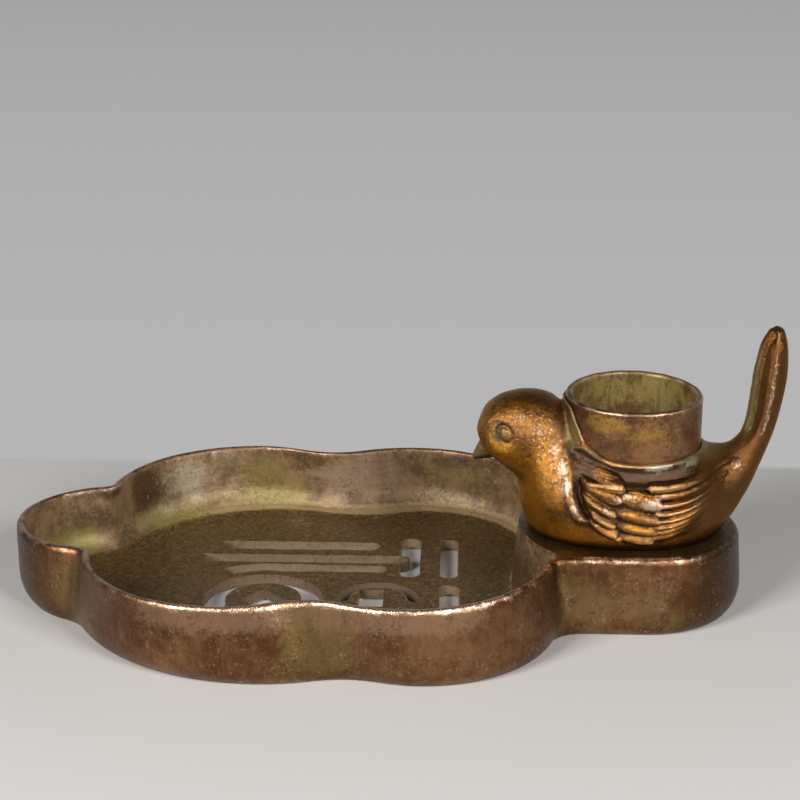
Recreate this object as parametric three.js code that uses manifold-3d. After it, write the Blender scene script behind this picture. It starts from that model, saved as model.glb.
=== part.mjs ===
// A cast bronze incense burner: a six-lobed dish with a pierced floor, and a small bird with a
// cup on its back, screwed to a round perch at one end. Millimetres, +Z up.
// The dish stands on z = 0, the bird looks along -X into the dish, and the near long side is -Y.
import * as THREE from "three";
import { mergeVertices } from "three/addons/utils/BufferGeometryUtils.js";
import Module from "manifold-3d";

const wasm = await Module();
wasm.setup();

// Fit between touching pieces
const SEAT_GAP = 0.3;

// Dish: its length along the rim, from the end lobe to the perch lobe
const DISH_LENGTH = 236.2;

// Dish, in plan along its rim and in parts of its length: one circle for each lobe, mirrored
// across the long axis, and the round notches between them. The perch lobe has straight sides
// back to its notches.
const RIM_PLAN = sizedPlan({
  end: { x: -0.3861, y: 0, r: 0.1109 },
  left: { x: -0.1931, y: 0.0948, r: 0.1943 },
  right: { x: 0.0474, y: 0.0915, r: 0.199 },
  perch: { x: 0.3815, y: 0, r: 0.1215 },
  endNotch: 0.0212,
  sideNotch: 0.1202,
  perchNotch: 0.0148,
});

// How far each circle of the plan shifts and grows from the rim down to the foot, in millimetres
const FOOT_CHANGE = {
  end: { x: 3.7, y: 0, r: 1.7 },
  left: { x: 11.9, y: -20.4, r: 19.9 },
  right: { x: 6.1, y: 3.7, r: -4.9 },
  perch: { x: -1, y: 0, r: 1 },
  endNotch: 13.9,
  sideNotch: 7.9,
  perchNotch: 9.3,
};
const OUTLINE_STEPS = {
  perch: 10,
  perchSide: 3,
  perchNotch: 4,
  right: 13,
  sideNotch: 5,
  left: 14,
  endNotch: 4,
  end: 7,
};

// Dish wall, in section: it swells out below the rim, and everything is measured from the plan
const DISH_HEIGHT = 27;
const BULGE = 3;
const RIM_OUTER = { out: 2, down: 3 };
const RIM_INNER = { in: 1.6, down: 2 };
const FOOT_ROUND = { inset: 1.5, up: 9 };
const FOOT_WIDTH = 4;
const FOOT_HEIGHT = 0.6;
const FLOOR_THICKNESS = 3.4;
const COVE_R = 11;

// Perch: the round drum that fills the lobe under the bird, hollow below
const DRUM = { behindLobe: 5.6, r: 36.8, draft: 2, fillet: 1.6, edge: 0.5 };
const DECK_THICKNESS = 3;
const DRUM_WALL = 3;

// Pierced floor: long bars with a slanted left end and a round right end
const LONG_SLOTS = [
  { farLeft: -54.6, nearLeft: -50.8, right: 0.5, near: 26.6, far: 33 },
  { farLeft: -60.1, nearLeft: -57.9, right: 11.5, near: 15.6, far: 21.8 },
  { farLeft: -52, nearLeft: -49, right: 6, near: -44, far: -37.6 },
];
const CROSS_SLOTS = [
  { x: 11.7, near: 4.4, far: 36.6, width: 6.8 },
  { x: 25, near: 4, far: 36.2, width: 6 },
  { x: 25.3, near: -34, far: -2.2, width: 6.4 },
];
const COIN = { x: -36, y: -14.5, outer: 19.5, inner: 12.6, eyeR: 7.4, bars: [230, 310], barWidth: 6 };
const SMALL_COIN = { x: 1.9, y: -13.6, outer: 13.1, inner: 9.6, bars: [200, 270, 340], barWidth: 5 };
const SMALL_COIN_EYE = { left: -4.6, right: 3.6, near: -19, far: -6 };
const HOOK_SLOT = { coinGap: 3.4, width: 5.4, right: 3.5, near: 7.8, from: 122, innerTo: 80, outerTo: 84 };

// Cup on the bird's back, in heights above the bird's foot
const CUP = { top: 45.6, outerR: 22.2, wall: 2.2, bottom: 24.7, ledgeWidth: 3, ledge: 2.4, edge: 0.7 };

// Cone seat: a loose pierced disc that the cone stands on
const SEAT = { thickness: 1.8, smokeHoleR: 2.2, ringR: 8, ringWidth: 1.2, ringHeight: 1.4 };

// Bird, in side view from the middle of its foot, X to the tail and Z up: sections from the
// forehead to the tail, each with its top, its bottom and its half width. Above and below give
// how full each half of the section is: 2 is an ellipse, less is sharper at the sides.
const BIRD_SECTIONS = [
  { top: [-50.4, 34.8], bottom: [-49.9, 29], half: 3.8, above: 2, below: 2 },
  { top: [-47.8, 40.4], bottom: [-46, 23.4], half: 8.9, above: 2, below: 2 },
  { top: [-41.8, 44.4], bottom: [-42, 19.8], half: 12, above: 2, below: 2 },
  { top: [-33.8, 45.8], bottom: [-38.4, 17], half: 13.6, above: 2, below: 2 },
  { top: [-27, 44.4], bottom: [-36.9, 13.4], half: 14.8, above: 2, below: 2 },
  { top: [-22.7, 40.8], bottom: [-36.5, 8.4], half: 16.8, above: 2, below: 2 },
  { top: [-19.6, 36], bottom: [-34.6, 2.6], half: 19.4, above: 2, below: 2 },
  { top: [-16, 34.4], bottom: [-30.6, -3.6], half: 22, above: 2, below: 2.1 },
  { top: [-9.5, 35.8], bottom: [-19, -9.6], half: 25.4, above: 2, below: 2.2 },
  { top: [-0.5, 37.6], bottom: [-4.5, -12.4], half: 26.8, above: 2, below: 2.2 },
  { top: [8.5, 37], bottom: [9.6, -12], half: 26, above: 2, below: 2.2 },
  { top: [16.5, 33.4], bottom: [21, -8], half: 22.6, above: 2, below: 2.1 },
  { top: [22.6, 28.6], bottom: [28.6, -2], half: 17.2, above: 2, below: 2 },
  { top: [27, 27.6], bottom: [33, 3.4], half: 12.6, above: 2, below: 2 },
  { top: [31, 28.4], bottom: [36.6, 9.6], half: 10, above: 1.8, below: 1.9 },
  { top: [34.1, 30.6], bottom: [39.9, 16.8], half: 8.6, above: 1.6, below: 1.8 },
  { top: [36.1, 34.2], bottom: [43, 25.2], half: 7.8, above: 1.4, below: 1.7 },
  { top: [37.3, 39.6], bottom: [45.8, 34], half: 7.4, above: 1.3, below: 1.6 },
  { top: [37.9, 46.2], bottom: [47.7, 43.2], half: 7.3, above: 1.3, below: 1.6 },
  { top: [38.8, 54.2], bottom: [48.9, 52.8], half: 6.9, above: 1.4, below: 1.6 },
  { top: [40.4, 61.8], bottom: [48.3, 61.4], half: 5.6, above: 1.6, below: 1.8 },
  { top: [42.8, 66.8], bottom: [46.6, 66.8], half: 3, above: 2, below: 2 },
];
const FOREHEAD = [-51, 32];
const TAIL_TIP = [44.8, 68.1];
const SECTION_POINTS = 24;
const SECTIONS_PER_SPAN = 2;

// Beak, eyes and mouth
const BEAK = { base: [-44.6, 26.6], tip: [-51.8, 21.9], r: 3.6 };
const EYE = { x: -42.4, y: 11.1, z: 35, r: 2.2, socketR: 4.4, socketDepth: 0.8, headX: -33.8, headZ: 31.4 };
const MOUTH = { x: -46.8, z: 21.6, r: 1.5 };

// Wing, in side view: the whole folded wing, and the feathers on it from root to tip
const WING = {
  proud: 0.7,
  outline: [[-22.5, 28], [-20.8, 19], [-19, 13.6], [-14.4, 9], [-7.4, 4.6], [0, 3], [10, 3.8],
    [20, 8.6], [27, 16], [30.5, 23.5], [26, 28], [14, 31], [0, 33], [-12, 32.4]],
};
const FEATHERS = [
  { root: [-19.4, 26.2], tip: [-5, 15.2], half: 2.3 },
  { root: [-20.4, 23], tip: [-6, 11.4], half: 2.2 },
  { root: [-19.6, 19.4], tip: [-7.2, 8], half: 1.9 },
  { root: [-19, 14.6], tip: [-6, 5.4], half: 1.7 },
  { root: [-6, 21.6], tip: [7.8, 12.4], half: 2.9 },
  { root: [-6, 14.4], tip: [7.8, 7.8], half: 2.3 },
  { root: [-6, 7.8], tip: [8, 4.4], half: 1.6 },
  { root: [7, 24.2], tip: [28.2, 26.6], half: 1.8 },
  { root: [7, 20], tip: [28, 22.2], half: 1.8 },
  { root: [8, 16], tip: [26, 18], half: 1.7 },
  { root: [8, 12.2], tip: [23.4, 14.2], half: 1.7 },
  { root: [8, 8], tip: [20, 10.8], half: 1.6 },
];
const FEATHER_PROUD = 1.5;

// Bird's inside: a chamber below the cup that leads the smoke to the mouth
const CHAMBER = { r: 16, bottom: 7.7 };

// Screws that hold the bird to the perch, one behind the other
const SCREW = { shankR: 2, headR: 4, headHeight: 2.4, length: 9, slot: 1, slotDepth: 1.2, apart: 22 };
const WASHER = { r: 5.5, thickness: 1 };
const FIXING_SIDES = 20;

const FOOT_PLAN = changedPlan(RIM_PLAN, FOOT_CHANGE);
const FLOOR_TOP = FOOT_HEIGHT + FLOOR_THICKNESS;
const DRUM_X = RIM_PLAN.perch.x - DRUM.behindLobe;
const BIRD_Z = DISH_HEIGHT + SEAT_GAP;
const DEG = Math.PI / 180;

// Turns a geometry into a solid that can be cut and joined
function solidOf(geometry) {
  const bare = geometry.clone();
  bare.deleteAttribute("normal");
  bare.deleteAttribute("uv");
  const merged = mergeVertices(bare, 1e-4);
  return new wasm.Manifold(
    new wasm.Mesh({
      numProp: 3,
      vertProperties: new Float32Array(merged.attributes.position.array),
      triVerts: new Uint32Array(merged.index.array),
    }),
  );
}

// Turns a cut or joined solid back into a geometry
function geometryOf(solid) {
  const mesh = solid.getMesh();
  const geometry = new THREE.BufferGeometry();
  geometry.setAttribute("position", new THREE.BufferAttribute(new Float32Array(mesh.vertProperties), 3));
  geometry.setIndex(new THREE.BufferAttribute(new Uint32Array(mesh.triVerts), 1));
  const flat = geometry.toNonIndexed();
  flat.computeVertexNormals();
  return flat;
}

// A solid from points and triangles
function solidFrom(positions, index) {
  const geometry = new THREE.BufferGeometry();
  geometry.setAttribute("position", new THREE.BufferAttribute(new Float32Array(positions), 3));
  geometry.setIndex(index);
  return solidOf(geometry);
}

// A cylinder between two heights
function drum(x, y, z0, z1, radius, segments = 48) {
  const geometry = new THREE.CylinderGeometry(radius, radius, z1 - z0, segments);
  geometry.rotateX(Math.PI / 2);
  geometry.translate(x, y, (z0 + z1) / 2);
  return solidOf(geometry);
}

// A box between two corners
function block(x0, y0, z0, x1, y1, z1) {
  const geometry = new THREE.BoxGeometry(x1 - x0, y1 - y0, z1 - z0);
  geometry.translate((x0 + x1) / 2, (y0 + y1) / 2, (z0 + z1) / 2);
  return solidOf(geometry);
}

// A vertical prism of a shape between two heights
function prism(shape, z0, z1, curveSegments = 6) {
  const geometry = new THREE.ExtrudeGeometry(shape, { depth: z1 - z0, bevelEnabled: false, curveSegments });
  geometry.translate(0, 0, z0);
  return solidOf(geometry);
}

// Revolves a closed profile of [radius, height] about a vertical axis at x
function lathe(profile, x, segments) {
  const geometry = new THREE.LatheGeometry(profile.map(([r, z]) => new THREE.Vector2(r, z)), segments);
  geometry.rotateX(Math.PI / 2);
  geometry.translate(x, 0, 0);
  return solidOf(geometry);
}

// A plan in parts of the dish's length, brought to its size
function sizedPlan(parts) {
  const sized = {};
  for (const [name, part] of Object.entries(parts)) {
    sized[name] =
      typeof part === "number"
        ? part * DISH_LENGTH
        : { x: part.x * DISH_LENGTH, y: part.y * DISH_LENGTH, r: part.r * DISH_LENGTH };
  }
  return sized;
}

// The plan of the dish with each circle and notch changed by its own amount
function changedPlan(plan, change) {
  const changed = {};
  for (const [name, value] of Object.entries(plan)) {
    const by = change[name];
    changed[name] =
      typeof value === "number" ? value + by : { x: value.x + by.x, y: value.y + by.y, r: value.r + by.r };
  }
  return changed;
}

// One plan of the dish as points with outward normals, anticlockwise from the perch's near side
function planPoints(plan) {
  const { end, left, right, perch } = plan;
  const reach = perch.r + plan.perchNotch;
  const across = right.r + plan.perchNotch;
  const perchNotch = {
    x: right.x + Math.sqrt(across ** 2 - (reach - right.y) ** 2),
    y: reach,
    r: plan.perchNotch,
  };
  const sideNotch = notchBetween(right, left, plan.sideNotch);
  const endNotch = notchBetween(left, end, plan.endNotch);
  const half = [];
  const steps = OUTLINE_STEPS;
  addArc(half, perch, 0, 90 * DEG, 1, steps.perch);
  for (let k = 0; k < steps.perchSide; k++) {
    const along = k / steps.perchSide;
    half.push({ x: perch.x + (perchNotch.x - perch.x) * along, y: perch.r, nx: 0, ny: 1 });
  }
  const fromRight = toward(right, perchNotch);
  addArc(half, perchNotch, -90 * DEG, unwrap(fromRight + Math.PI, -90 * DEG, -1), -1, steps.perchNotch);
  const sideOnRight = toward(right, sideNotch);
  addArc(half, right, fromRight, unwrap(sideOnRight, fromRight, 1), 1, steps.right);
  const sideOnLeft = toward(left, sideNotch);
  const sideTo = unwrap(sideOnLeft + Math.PI, sideOnRight + Math.PI, -1);
  addArc(half, sideNotch, sideOnRight + Math.PI, sideTo, -1, steps.sideNotch);
  const endOnLeft = toward(left, endNotch);
  addArc(half, left, sideOnLeft, unwrap(endOnLeft, sideOnLeft, 1), 1, steps.left);
  const endOnEnd = toward(end, endNotch);
  const endTo = unwrap(endOnEnd + Math.PI, endOnLeft + Math.PI, -1);
  addArc(half, endNotch, endOnLeft + Math.PI, endTo, -1, steps.endNotch);
  addArc(half, end, endOnEnd, unwrap(Math.PI, endOnEnd, 1), 1, steps.end);
  half.push({ x: end.x - end.r, y: 0, nx: -1, ny: 0 });
  const mirrored = half.slice(1, -1).reverse();
  return [...half, ...mirrored.map((p) => ({ x: p.x, y: -p.y, nx: p.nx, ny: -p.ny }))];
}

// The direction from one circle's centre to another's
function toward(a, b) {
  return Math.atan2(b.y - a.y, b.x - a.x);
}

// The circle that rounds the notch between two lobes, outside both
function notchBetween(a, b, r) {
  const reachA = a.r + r;
  const reachB = b.r + r;
  const dx = b.x - a.x;
  const dy = b.y - a.y;
  const apart = Math.hypot(dx, dy);
  const along = (reachA ** 2 - reachB ** 2 + apart ** 2) / (2 * apart);
  const aside = Math.sqrt(reachA ** 2 - along ** 2);
  return {
    x: a.x + (along * dx + aside * dy) / apart,
    y: a.y + (along * dy - aside * dx) / apart,
    r,
  };
}

// Brings an angle past another in the given turning direction
function unwrap(angle, from, direction) {
  while (direction * (angle - from) < 0) angle += direction * 2 * Math.PI;
  while (direction * (angle - from) > 2 * Math.PI) angle -= direction * 2 * Math.PI;
  return angle;
}

// Adds an arc's points, leaving out its last; side is 1 where the arc bulges out and -1 in a notch
function addArc(outline, circle, start, end, side, steps) {
  for (let k = 0; k < steps; k++) {
    const angle = start + ((end - start) * k) / steps;
    outline.push({
      x: circle.x + circle.r * Math.cos(angle),
      y: circle.y + circle.r * Math.sin(angle),
      nx: side * Math.cos(angle),
      ny: side * Math.sin(angle),
    });
  }
}

// The dish's outline at a height, between its two plans
function outlineAt(z) {
  const t = z / DISH_HEIGHT;
  return FOOT_POINTS.map((foot, i) => {
    const rim = RIM_POINTS[i];
    const nx = foot.nx + (rim.nx - foot.nx) * t;
    const ny = foot.ny + (rim.ny - foot.ny) * t;
    const length = Math.hypot(nx, ny);
    return {
      x: foot.x + (rim.x - foot.x) * t,
      y: foot.y + (rim.y - foot.y) * t,
      nx: nx / length,
      ny: ny / length,
    };
  });
}

// The outline at a height, drawn out by an amount, as a shape
function outlineShape(z, out) {
  return new THREE.Shape(outlineAt(z).map((p) => new THREE.Vector2(p.x + out * p.nx, p.y + out * p.ny)));
}

// Sweeps a closed section of [out, height] points round the dish
function ringSolid(section) {
  const rings = section.map(([out, z]) => outlineAt(z).map((p) => [p.x + out * p.nx, p.y + out * p.ny, z]));
  const n = rings[0].length;
  const m = rings.length;
  const index = [];
  for (let k = 0; k < m; k++)
    for (let i = 0; i < n; i++) {
      const a = k * n + i;
      const b = k * n + ((i + 1) % n);
      const c = ((k + 1) % m) * n + ((i + 1) % n);
      const d = ((k + 1) % m) * n + i;
      index.push(a, b, c, a, c, d);
    }
  return solidFrom(rings.flat(2), index);
}

// Points along part of an ellipse in [out, height]
function arc(cx, cz, rx, rz, from, to, steps) {
  return Array.from({ length: steps + 1 }, (_, k) => {
    const angle = (from + ((to - from) * k) / steps) * DEG;
    return [cx + rx * Math.cos(angle), cz + rz * Math.sin(angle)];
  });
}

// The dish's wall in section, from the foot up the outside, over the rim and down into the cove
function wallSection() {
  const footOut = -FOOT_ROUND.inset;
  const coveIn = -RIM_INNER.in - COVE_R;
  const outside = arc(footOut, FOOT_ROUND.up, BULGE - footOut, FOOT_ROUND.up, -90, 0, 4);
  const rim = arc(0, DISH_HEIGHT - RIM_OUTER.down, RIM_OUTER.out, RIM_OUTER.down, 0, 90, 3);
  const lip = arc(0, DISH_HEIGHT - RIM_INNER.down, RIM_INNER.in, RIM_INNER.down, 90, 180, 2).slice(1);
  const cove = arc(coveIn, FLOOR_TOP + COVE_R, COVE_R, COVE_R, 0, -90, 4);
  const under = [
    [coveIn, FOOT_HEIGHT],
    [footOut - FOOT_WIDTH, FOOT_HEIGHT],
    [footOut - FOOT_WIDTH, 0],
  ];
  return [...outside, ...rim, ...lip, ...cove, ...under];
}

// A cut through the floor plate
function floorCut(shape) {
  return prism(shape, -1, FLOOR_TOP + 1);
}

// A long slot with a slanted left end and a round right end
function longSlot({ farLeft, nearLeft, right, near, far }) {
  const r = (far - near) / 2;
  const shape = new THREE.Shape();
  shape.moveTo(nearLeft, near);
  shape.lineTo(right - r, near);
  shape.absarc(right - r, near + r, r, -90 * DEG, 90 * DEG, false);
  shape.lineTo(farLeft, far);
  shape.closePath();
  return floorCut(shape);
}

// A slot across the dish with round ends
function crossSlot({ x, near, far, width }) {
  const r = width / 2;
  const shape = new THREE.Shape();
  shape.absarc(x, far - r, r, 0, Math.PI, false);
  shape.absarc(x, near + r, r, Math.PI, 2 * Math.PI, false);
  shape.closePath();
  return floorCut(shape);
}

// A ring cut through the floor, with bars left across it
function coinCut({ x, y, outer, inner, bars, barWidth }) {
  let cut = drum(x, y, -1, FLOOR_TOP + 1, outer, 40).subtract(drum(x, y, -2, FLOOR_TOP + 2, inner, 32));
  for (const angle of bars) {
    const bar = new THREE.BoxGeometry(outer, barWidth, FLOOR_TOP * 4);
    bar.translate(outer, 0, 0);
    bar.rotateZ(angle * DEG);
    bar.translate(x, y, 0);
    cut = cut.subtract(solidOf(bar));
  }
  return cut;
}

// The slot that runs round the back of the coin and on to the right
function hookSlot({ coinGap, width, right, near, from, innerTo, outerTo }) {
  const inner = COIN.outer + coinGap;
  const outer = inner + width;
  const end = width / 2;
  const shape = new THREE.Shape();
  shape.absarc(COIN.x, COIN.y, inner, from * DEG, innerTo * DEG, true);
  shape.absarc(right - end, near + end, end, -90 * DEG, 90 * DEG, false);
  shape.absarc(COIN.x, COIN.y, outer, outerTo * DEG, from * DEG, false);
  shape.closePath();
  return floorCut(shape);
}

function makeFloor() {
  const overlap = 1.5;
  let floor = prism(outlineShape(FLOOR_TOP, overlap - RIM_INNER.in - COVE_R), FOOT_HEIGHT, FLOOR_TOP);
  for (const slot of LONG_SLOTS) floor = floor.subtract(longSlot(slot));
  for (const slot of CROSS_SLOTS) floor = floor.subtract(crossSlot(slot));
  const eye = SMALL_COIN_EYE;
  return floor
    .subtract(hookSlot(HOOK_SLOT))
    .subtract(coinCut(COIN))
    .subtract(drum(COIN.x, COIN.y, -1, FLOOR_TOP + 1, COIN.eyeR, 4))
    .subtract(coinCut(SMALL_COIN))
    .subtract(block(eye.left, eye.near, -1, eye.right, eye.far, FLOOR_TOP + 1));
}

function makeDish() {
  const foot = DRUM.r + DRUM.draft;
  const perch = lathe(
    [
      [0, FOOT_HEIGHT + 1],
      [foot + DRUM.fillet, FOOT_HEIGHT + 1],
      [foot + DRUM.fillet, FLOOR_TOP],
      [foot + DRUM.fillet * 0.3, FLOOR_TOP + DRUM.fillet * 0.3],
      [foot, FLOOR_TOP + DRUM.fillet],
      [DRUM.r + DRUM.edge * 0.3, DISH_HEIGHT - DRUM.edge],
      [DRUM.r - DRUM.edge, DISH_HEIGHT],
      [0, DISH_HEIGHT],
    ],
    DRUM_X,
    72,
  ).intersect(prism(outlineShape(DISH_HEIGHT, 0), FOOT_HEIGHT + 1, DISH_HEIGHT));
  const hollow = drum(DRUM_X, 0, -1, DISH_HEIGHT - DECK_THICKNESS, DRUM.r - DRUM_WALL, 56).intersect(
    prism(outlineShape(DISH_HEIGHT, -DRUM_WALL - RIM_INNER.in), -2, DISH_HEIGHT),
  );
  let dish = ringSolid(wallSection()).add(makeFloor()).add(perch).subtract(hollow);
  for (const x of screwPlaces()) dish = dish.subtract(screwHole(x, 0, DISH_HEIGHT + 1));
  return dish;
}

// Where the two screws stand along the perch
function screwPlaces() {
  return [DRUM_X - SCREW.apart / 2, DRUM_X + SCREW.apart / 2];
}

function screwHole(x, z0, z1) {
  return drum(x, 0, z0, z1, SCREW.shankR + SEAT_GAP, FIXING_SIDES);
}

// Skins rows of equal length into a closed body, with a point at each end
function skin(rows, first, last) {
  const positions = [...first, ...rows.flat(2), ...last];
  const m = rows[0].length;
  const index = [];
  for (let k = 0; k < m; k++) index.push(0, 1 + ((k + 1) % m), 1 + k);
  for (let i = 0; i + 1 < rows.length; i++)
    for (let k = 0; k < m; k++) {
      const a = 1 + i * m + k;
      const b = 1 + i * m + ((k + 1) % m);
      const c = a + m;
      const d = b + m;
      index.push(a, b, d, a, d, c);
    }
  const end = positions.length / 3 - 1;
  const base = 1 + (rows.length - 1) * m;
  for (let k = 0; k < m; k++) index.push(end, base + k, base + ((k + 1) % m));
  return solidFrom(positions, index);
}

// One section of the bird, grown by an offset
function birdRow({ top, bottom, half, above, below }, grow) {
  const cx = (top[0] + bottom[0]) / 2;
  const cz = (top[1] + bottom[1]) / 2;
  const reach = Math.hypot(top[0] - bottom[0], top[1] - bottom[1]) / 2;
  const ux = ((top[0] - bottom[0]) / 2) * (1 + grow / reach);
  const uz = ((top[1] - bottom[1]) / 2) * (1 + grow / reach);
  return Array.from({ length: SECTION_POINTS }, (_, k) => {
    const t = (2 * Math.PI * k) / SECTION_POINTS;
    const power = 2 / (Math.cos(t) > 0 ? above : below);
    const up = Math.sign(Math.cos(t)) * Math.abs(Math.cos(t)) ** power;
    const side = Math.sign(Math.sin(t)) * Math.abs(Math.sin(t)) ** power;
    return [cx + ux * up, -(half + grow) * side, cz + uz * up];
  });
}

// The bird's sections with smooth ones between them
function smoothSections() {
  const curveOf = (pick) => {
    const points = BIRD_SECTIONS.map((s) => new THREE.Vector3(...pick(s)));
    return new THREE.CatmullRomCurve3(points, false, "catmullrom", 0.5);
  };
  const top = curveOf((s) => [...s.top, 0]);
  const bottom = curveOf((s) => [...s.bottom, 0]);
  const form = curveOf((s) => [s.half, s.above, s.below]);
  const count = (BIRD_SECTIONS.length - 1) * SECTIONS_PER_SPAN;
  return Array.from({ length: count + 1 }, (_, k) => {
    const [a, b, c] = [top, bottom, form].map((curve) => curve.getPoint(k / count));
    return { top: [a.x, a.y], bottom: [b.x, b.y], half: c.x, above: c.y, below: c.z };
  });
}

// The bird's body as one skin, grown by an offset
function birdSkin(grow) {
  const rows = smoothSections().map((section) => birdRow(section, grow));
  return skin(rows, [FOREHEAD[0] - grow, 0, FOREHEAD[1]], [TAIL_TIP[0], 0, TAIL_TIP[1] + grow]);
}

// A smooth closed side-view outline carried through one side of the bird
function sideCut(points, side, stepsPerPoint = 3) {
  const outline = new THREE.CatmullRomCurve3(
    points.map(([x, z]) => new THREE.Vector3(x, z, 0)),
    true,
    "centripetal",
  ).getPoints(points.length * stepsPerPoint);
  const shape = new THREE.Shape(outline.slice(0, -1).map((p) => new THREE.Vector2(p.x, p.y)));
  const reach = { from: 4, to: 40 };
  const geometry = new THREE.ExtrudeGeometry(shape, { depth: reach.to - reach.from, bevelEnabled: false });
  geometry.rotateX(Math.PI / 2);
  geometry.translate(0, side > 0 ? reach.to : -reach.from, 0);
  return solidOf(geometry);
}

// A feather's outline: narrow at the root, widest past its middle, round at the tip
function featherOutline({ root, tip, half }) {
  const dx = tip[0] - root[0];
  const dz = tip[1] - root[1];
  const length = Math.hypot(dx, dz);
  const place = (along, aside) => [
    root[0] + dx * along - (dz / length) * half * aside,
    root[1] + dz * along + (dx / length) * half * aside,
  ];
  const side = [[0.3, 0.7], [0.7, 1], [0.93, 0.75]];
  return [
    place(0, 0),
    ...side.map(([along, aside]) => place(along, -aside)),
    place(1, 0),
    ...side.reverse().map(([along, aside]) => place(along, aside)),
  ];
}

// The wing and its feathers on both sides, each a patch of a slightly larger bird
function addWings(body) {
  const wingSkin = birdSkin(WING.proud);
  const featherSkin = birdSkin(FEATHER_PROUD);
  let bird = body;
  for (const side of [-1, 1]) {
    bird = bird.add(wingSkin.intersect(sideCut(WING.outline, side)));
    for (const feather of FEATHERS) {
      bird = bird.add(featherSkin.intersect(sideCut(featherOutline(feather), side, 2)));
    }
  }
  return bird;
}

function makeBeak() {
  const dx = BEAK.base[0] - BEAK.tip[0];
  const dz = BEAK.base[1] - BEAK.tip[1];
  const length = Math.hypot(dx, dz);
  const beak = new THREE.ConeGeometry(BEAK.r, length, 14, 3);
  beak.rotateZ(Math.atan2(dx, -dz));
  beak.rotateX(Math.PI / 2);
  beak.translate((BEAK.base[0] + BEAK.tip[0]) / 2, 0, (BEAK.base[1] + BEAK.tip[1]) / 2);
  return solidOf(beak);
}

// A sphere that touches the head from outside at the eye
function eyeBall(side, radius, sink) {
  const centre = new THREE.Vector3(EYE.x, side * EYE.y, EYE.z);
  const out = centre.clone().sub(new THREE.Vector3(EYE.headX, 0, EYE.headZ)).normalize();
  centre.addScaledVector(out, radius - sink);
  const ball = new THREE.SphereGeometry(radius, 14, 10);
  ball.translate(centre.x, centre.y, centre.z);
  return solidOf(ball);
}

function makeBird() {
  const reach = 2 * DRUM.r;
  let bird = addWings(birdSkin(0)).add(makeBeak());
  for (const side of [-1, 1]) bird = bird.subtract(eyeBall(side, EYE.socketR, EYE.socketDepth));
  for (const side of [-1, 1]) bird = bird.add(eyeBall(side, EYE.r, EYE.r + EYE.socketDepth));
  const mouth = new THREE.CylinderGeometry(MOUTH.r, MOUTH.r, -MOUTH.x, 12);
  mouth.rotateZ(Math.PI / 2);
  mouth.translate(MOUTH.x / 2, 0, MOUTH.z);
  bird = bird
    .subtract(block(-reach, -reach, -reach, reach, reach, 0))
    .subtract(drum(0, 0, CUP.bottom - SEAT_GAP, CUP.top, CUP.outerR + SEAT_GAP, 56))
    .subtract(drum(0, 0, CHAMBER.bottom, CUP.top, CHAMBER.r, 40))
    .subtract(solidOf(mouth));
  bird = bird.translate([DRUM_X, 0, BIRD_Z]);
  const holeTop = headTop() + SCREW.length;
  for (const x of screwPlaces()) bird = bird.subtract(screwHole(x, DISH_HEIGHT - 1, holeTop));
  return bird;
}

function makeCup() {
  const inner = CUP.outerR - CUP.wall;
  const profile = [
    [inner - CUP.ledgeWidth, CUP.bottom],
    [CUP.outerR, CUP.bottom],
    [CUP.outerR, CUP.top - CUP.edge],
    [CUP.outerR - CUP.edge, CUP.top],
    [inner + CUP.edge, CUP.top],
    [inner, CUP.top - CUP.edge],
    [inner, CUP.bottom + CUP.ledge],
    [inner - CUP.ledgeWidth, CUP.bottom + CUP.ledge],
    [inner - CUP.ledgeWidth, CUP.bottom],
  ];
  return lathe(profile, DRUM_X, 56).translate([0, 0, BIRD_Z]);
}

function makeSeat() {
  const z0 = BIRD_Z + CUP.bottom + CUP.ledge + SEAT_GAP;
  const edge = CUP.outerR - CUP.wall - SEAT_GAP;
  const z1 = z0 + SEAT.thickness;
  const profile = [
    [SEAT.smokeHoleR, z0],
    [edge, z0],
    [edge, z1],
    [SEAT.ringR + SEAT.ringWidth, z1],
    [SEAT.ringR + SEAT.ringWidth, z1 + SEAT.ringHeight],
    [SEAT.ringR, z1 + SEAT.ringHeight],
    [SEAT.ringR, z1],
    [SEAT.smokeHoleR, z1],
    [SEAT.smokeHoleR, z0],
  ];
  return lathe(profile, DRUM_X, 40);
}

// The height of the screw heads' upper faces, under the deck and the washers
function headTop() {
  return DISH_HEIGHT - DECK_THICKNESS - 2 * SEAT_GAP - WASHER.thickness;
}

function makeWasher(x) {
  const z0 = headTop() + SEAT_GAP;
  const ring = drum(x, 0, z0, z0 + WASHER.thickness, WASHER.r, FIXING_SIDES + 8);
  return ring.subtract(screwHole(x, z0 - 1, z0 + WASHER.thickness + 1));
}

function makeScrew(x) {
  const bottom = headTop() - SCREW.headHeight;
  const head = drum(x, 0, bottom, headTop(), SCREW.headR, FIXING_SIDES + 4);
  const shankTop = headTop() + SCREW.length - SEAT_GAP;
  const shank = drum(x, 0, headTop() - 1, shankTop, SCREW.shankR, FIXING_SIDES);
  const r = SCREW.headR;
  const halfSlot = SCREW.slot / 2;
  const slot = block(x - r, -halfSlot, bottom - 1, x + r, halfSlot, bottom + SCREW.slotDepth);
  return head.add(shank).subtract(slot);
}

const RIM_POINTS = planPoints(RIM_PLAN);
const FOOT_POINTS = planPoints(FOOT_PLAN);

const bronze = new THREE.MeshStandardMaterial({ color: 0x6d4a2c, roughness: 0.45, metalness: 0.9 });
const polished = new THREE.MeshStandardMaterial({ color: 0x8c5a2b, roughness: 0.32, metalness: 0.95 });
const brass = new THREE.MeshStandardMaterial({ color: 0xa98545, roughness: 0.4, metalness: 0.9 });

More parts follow.
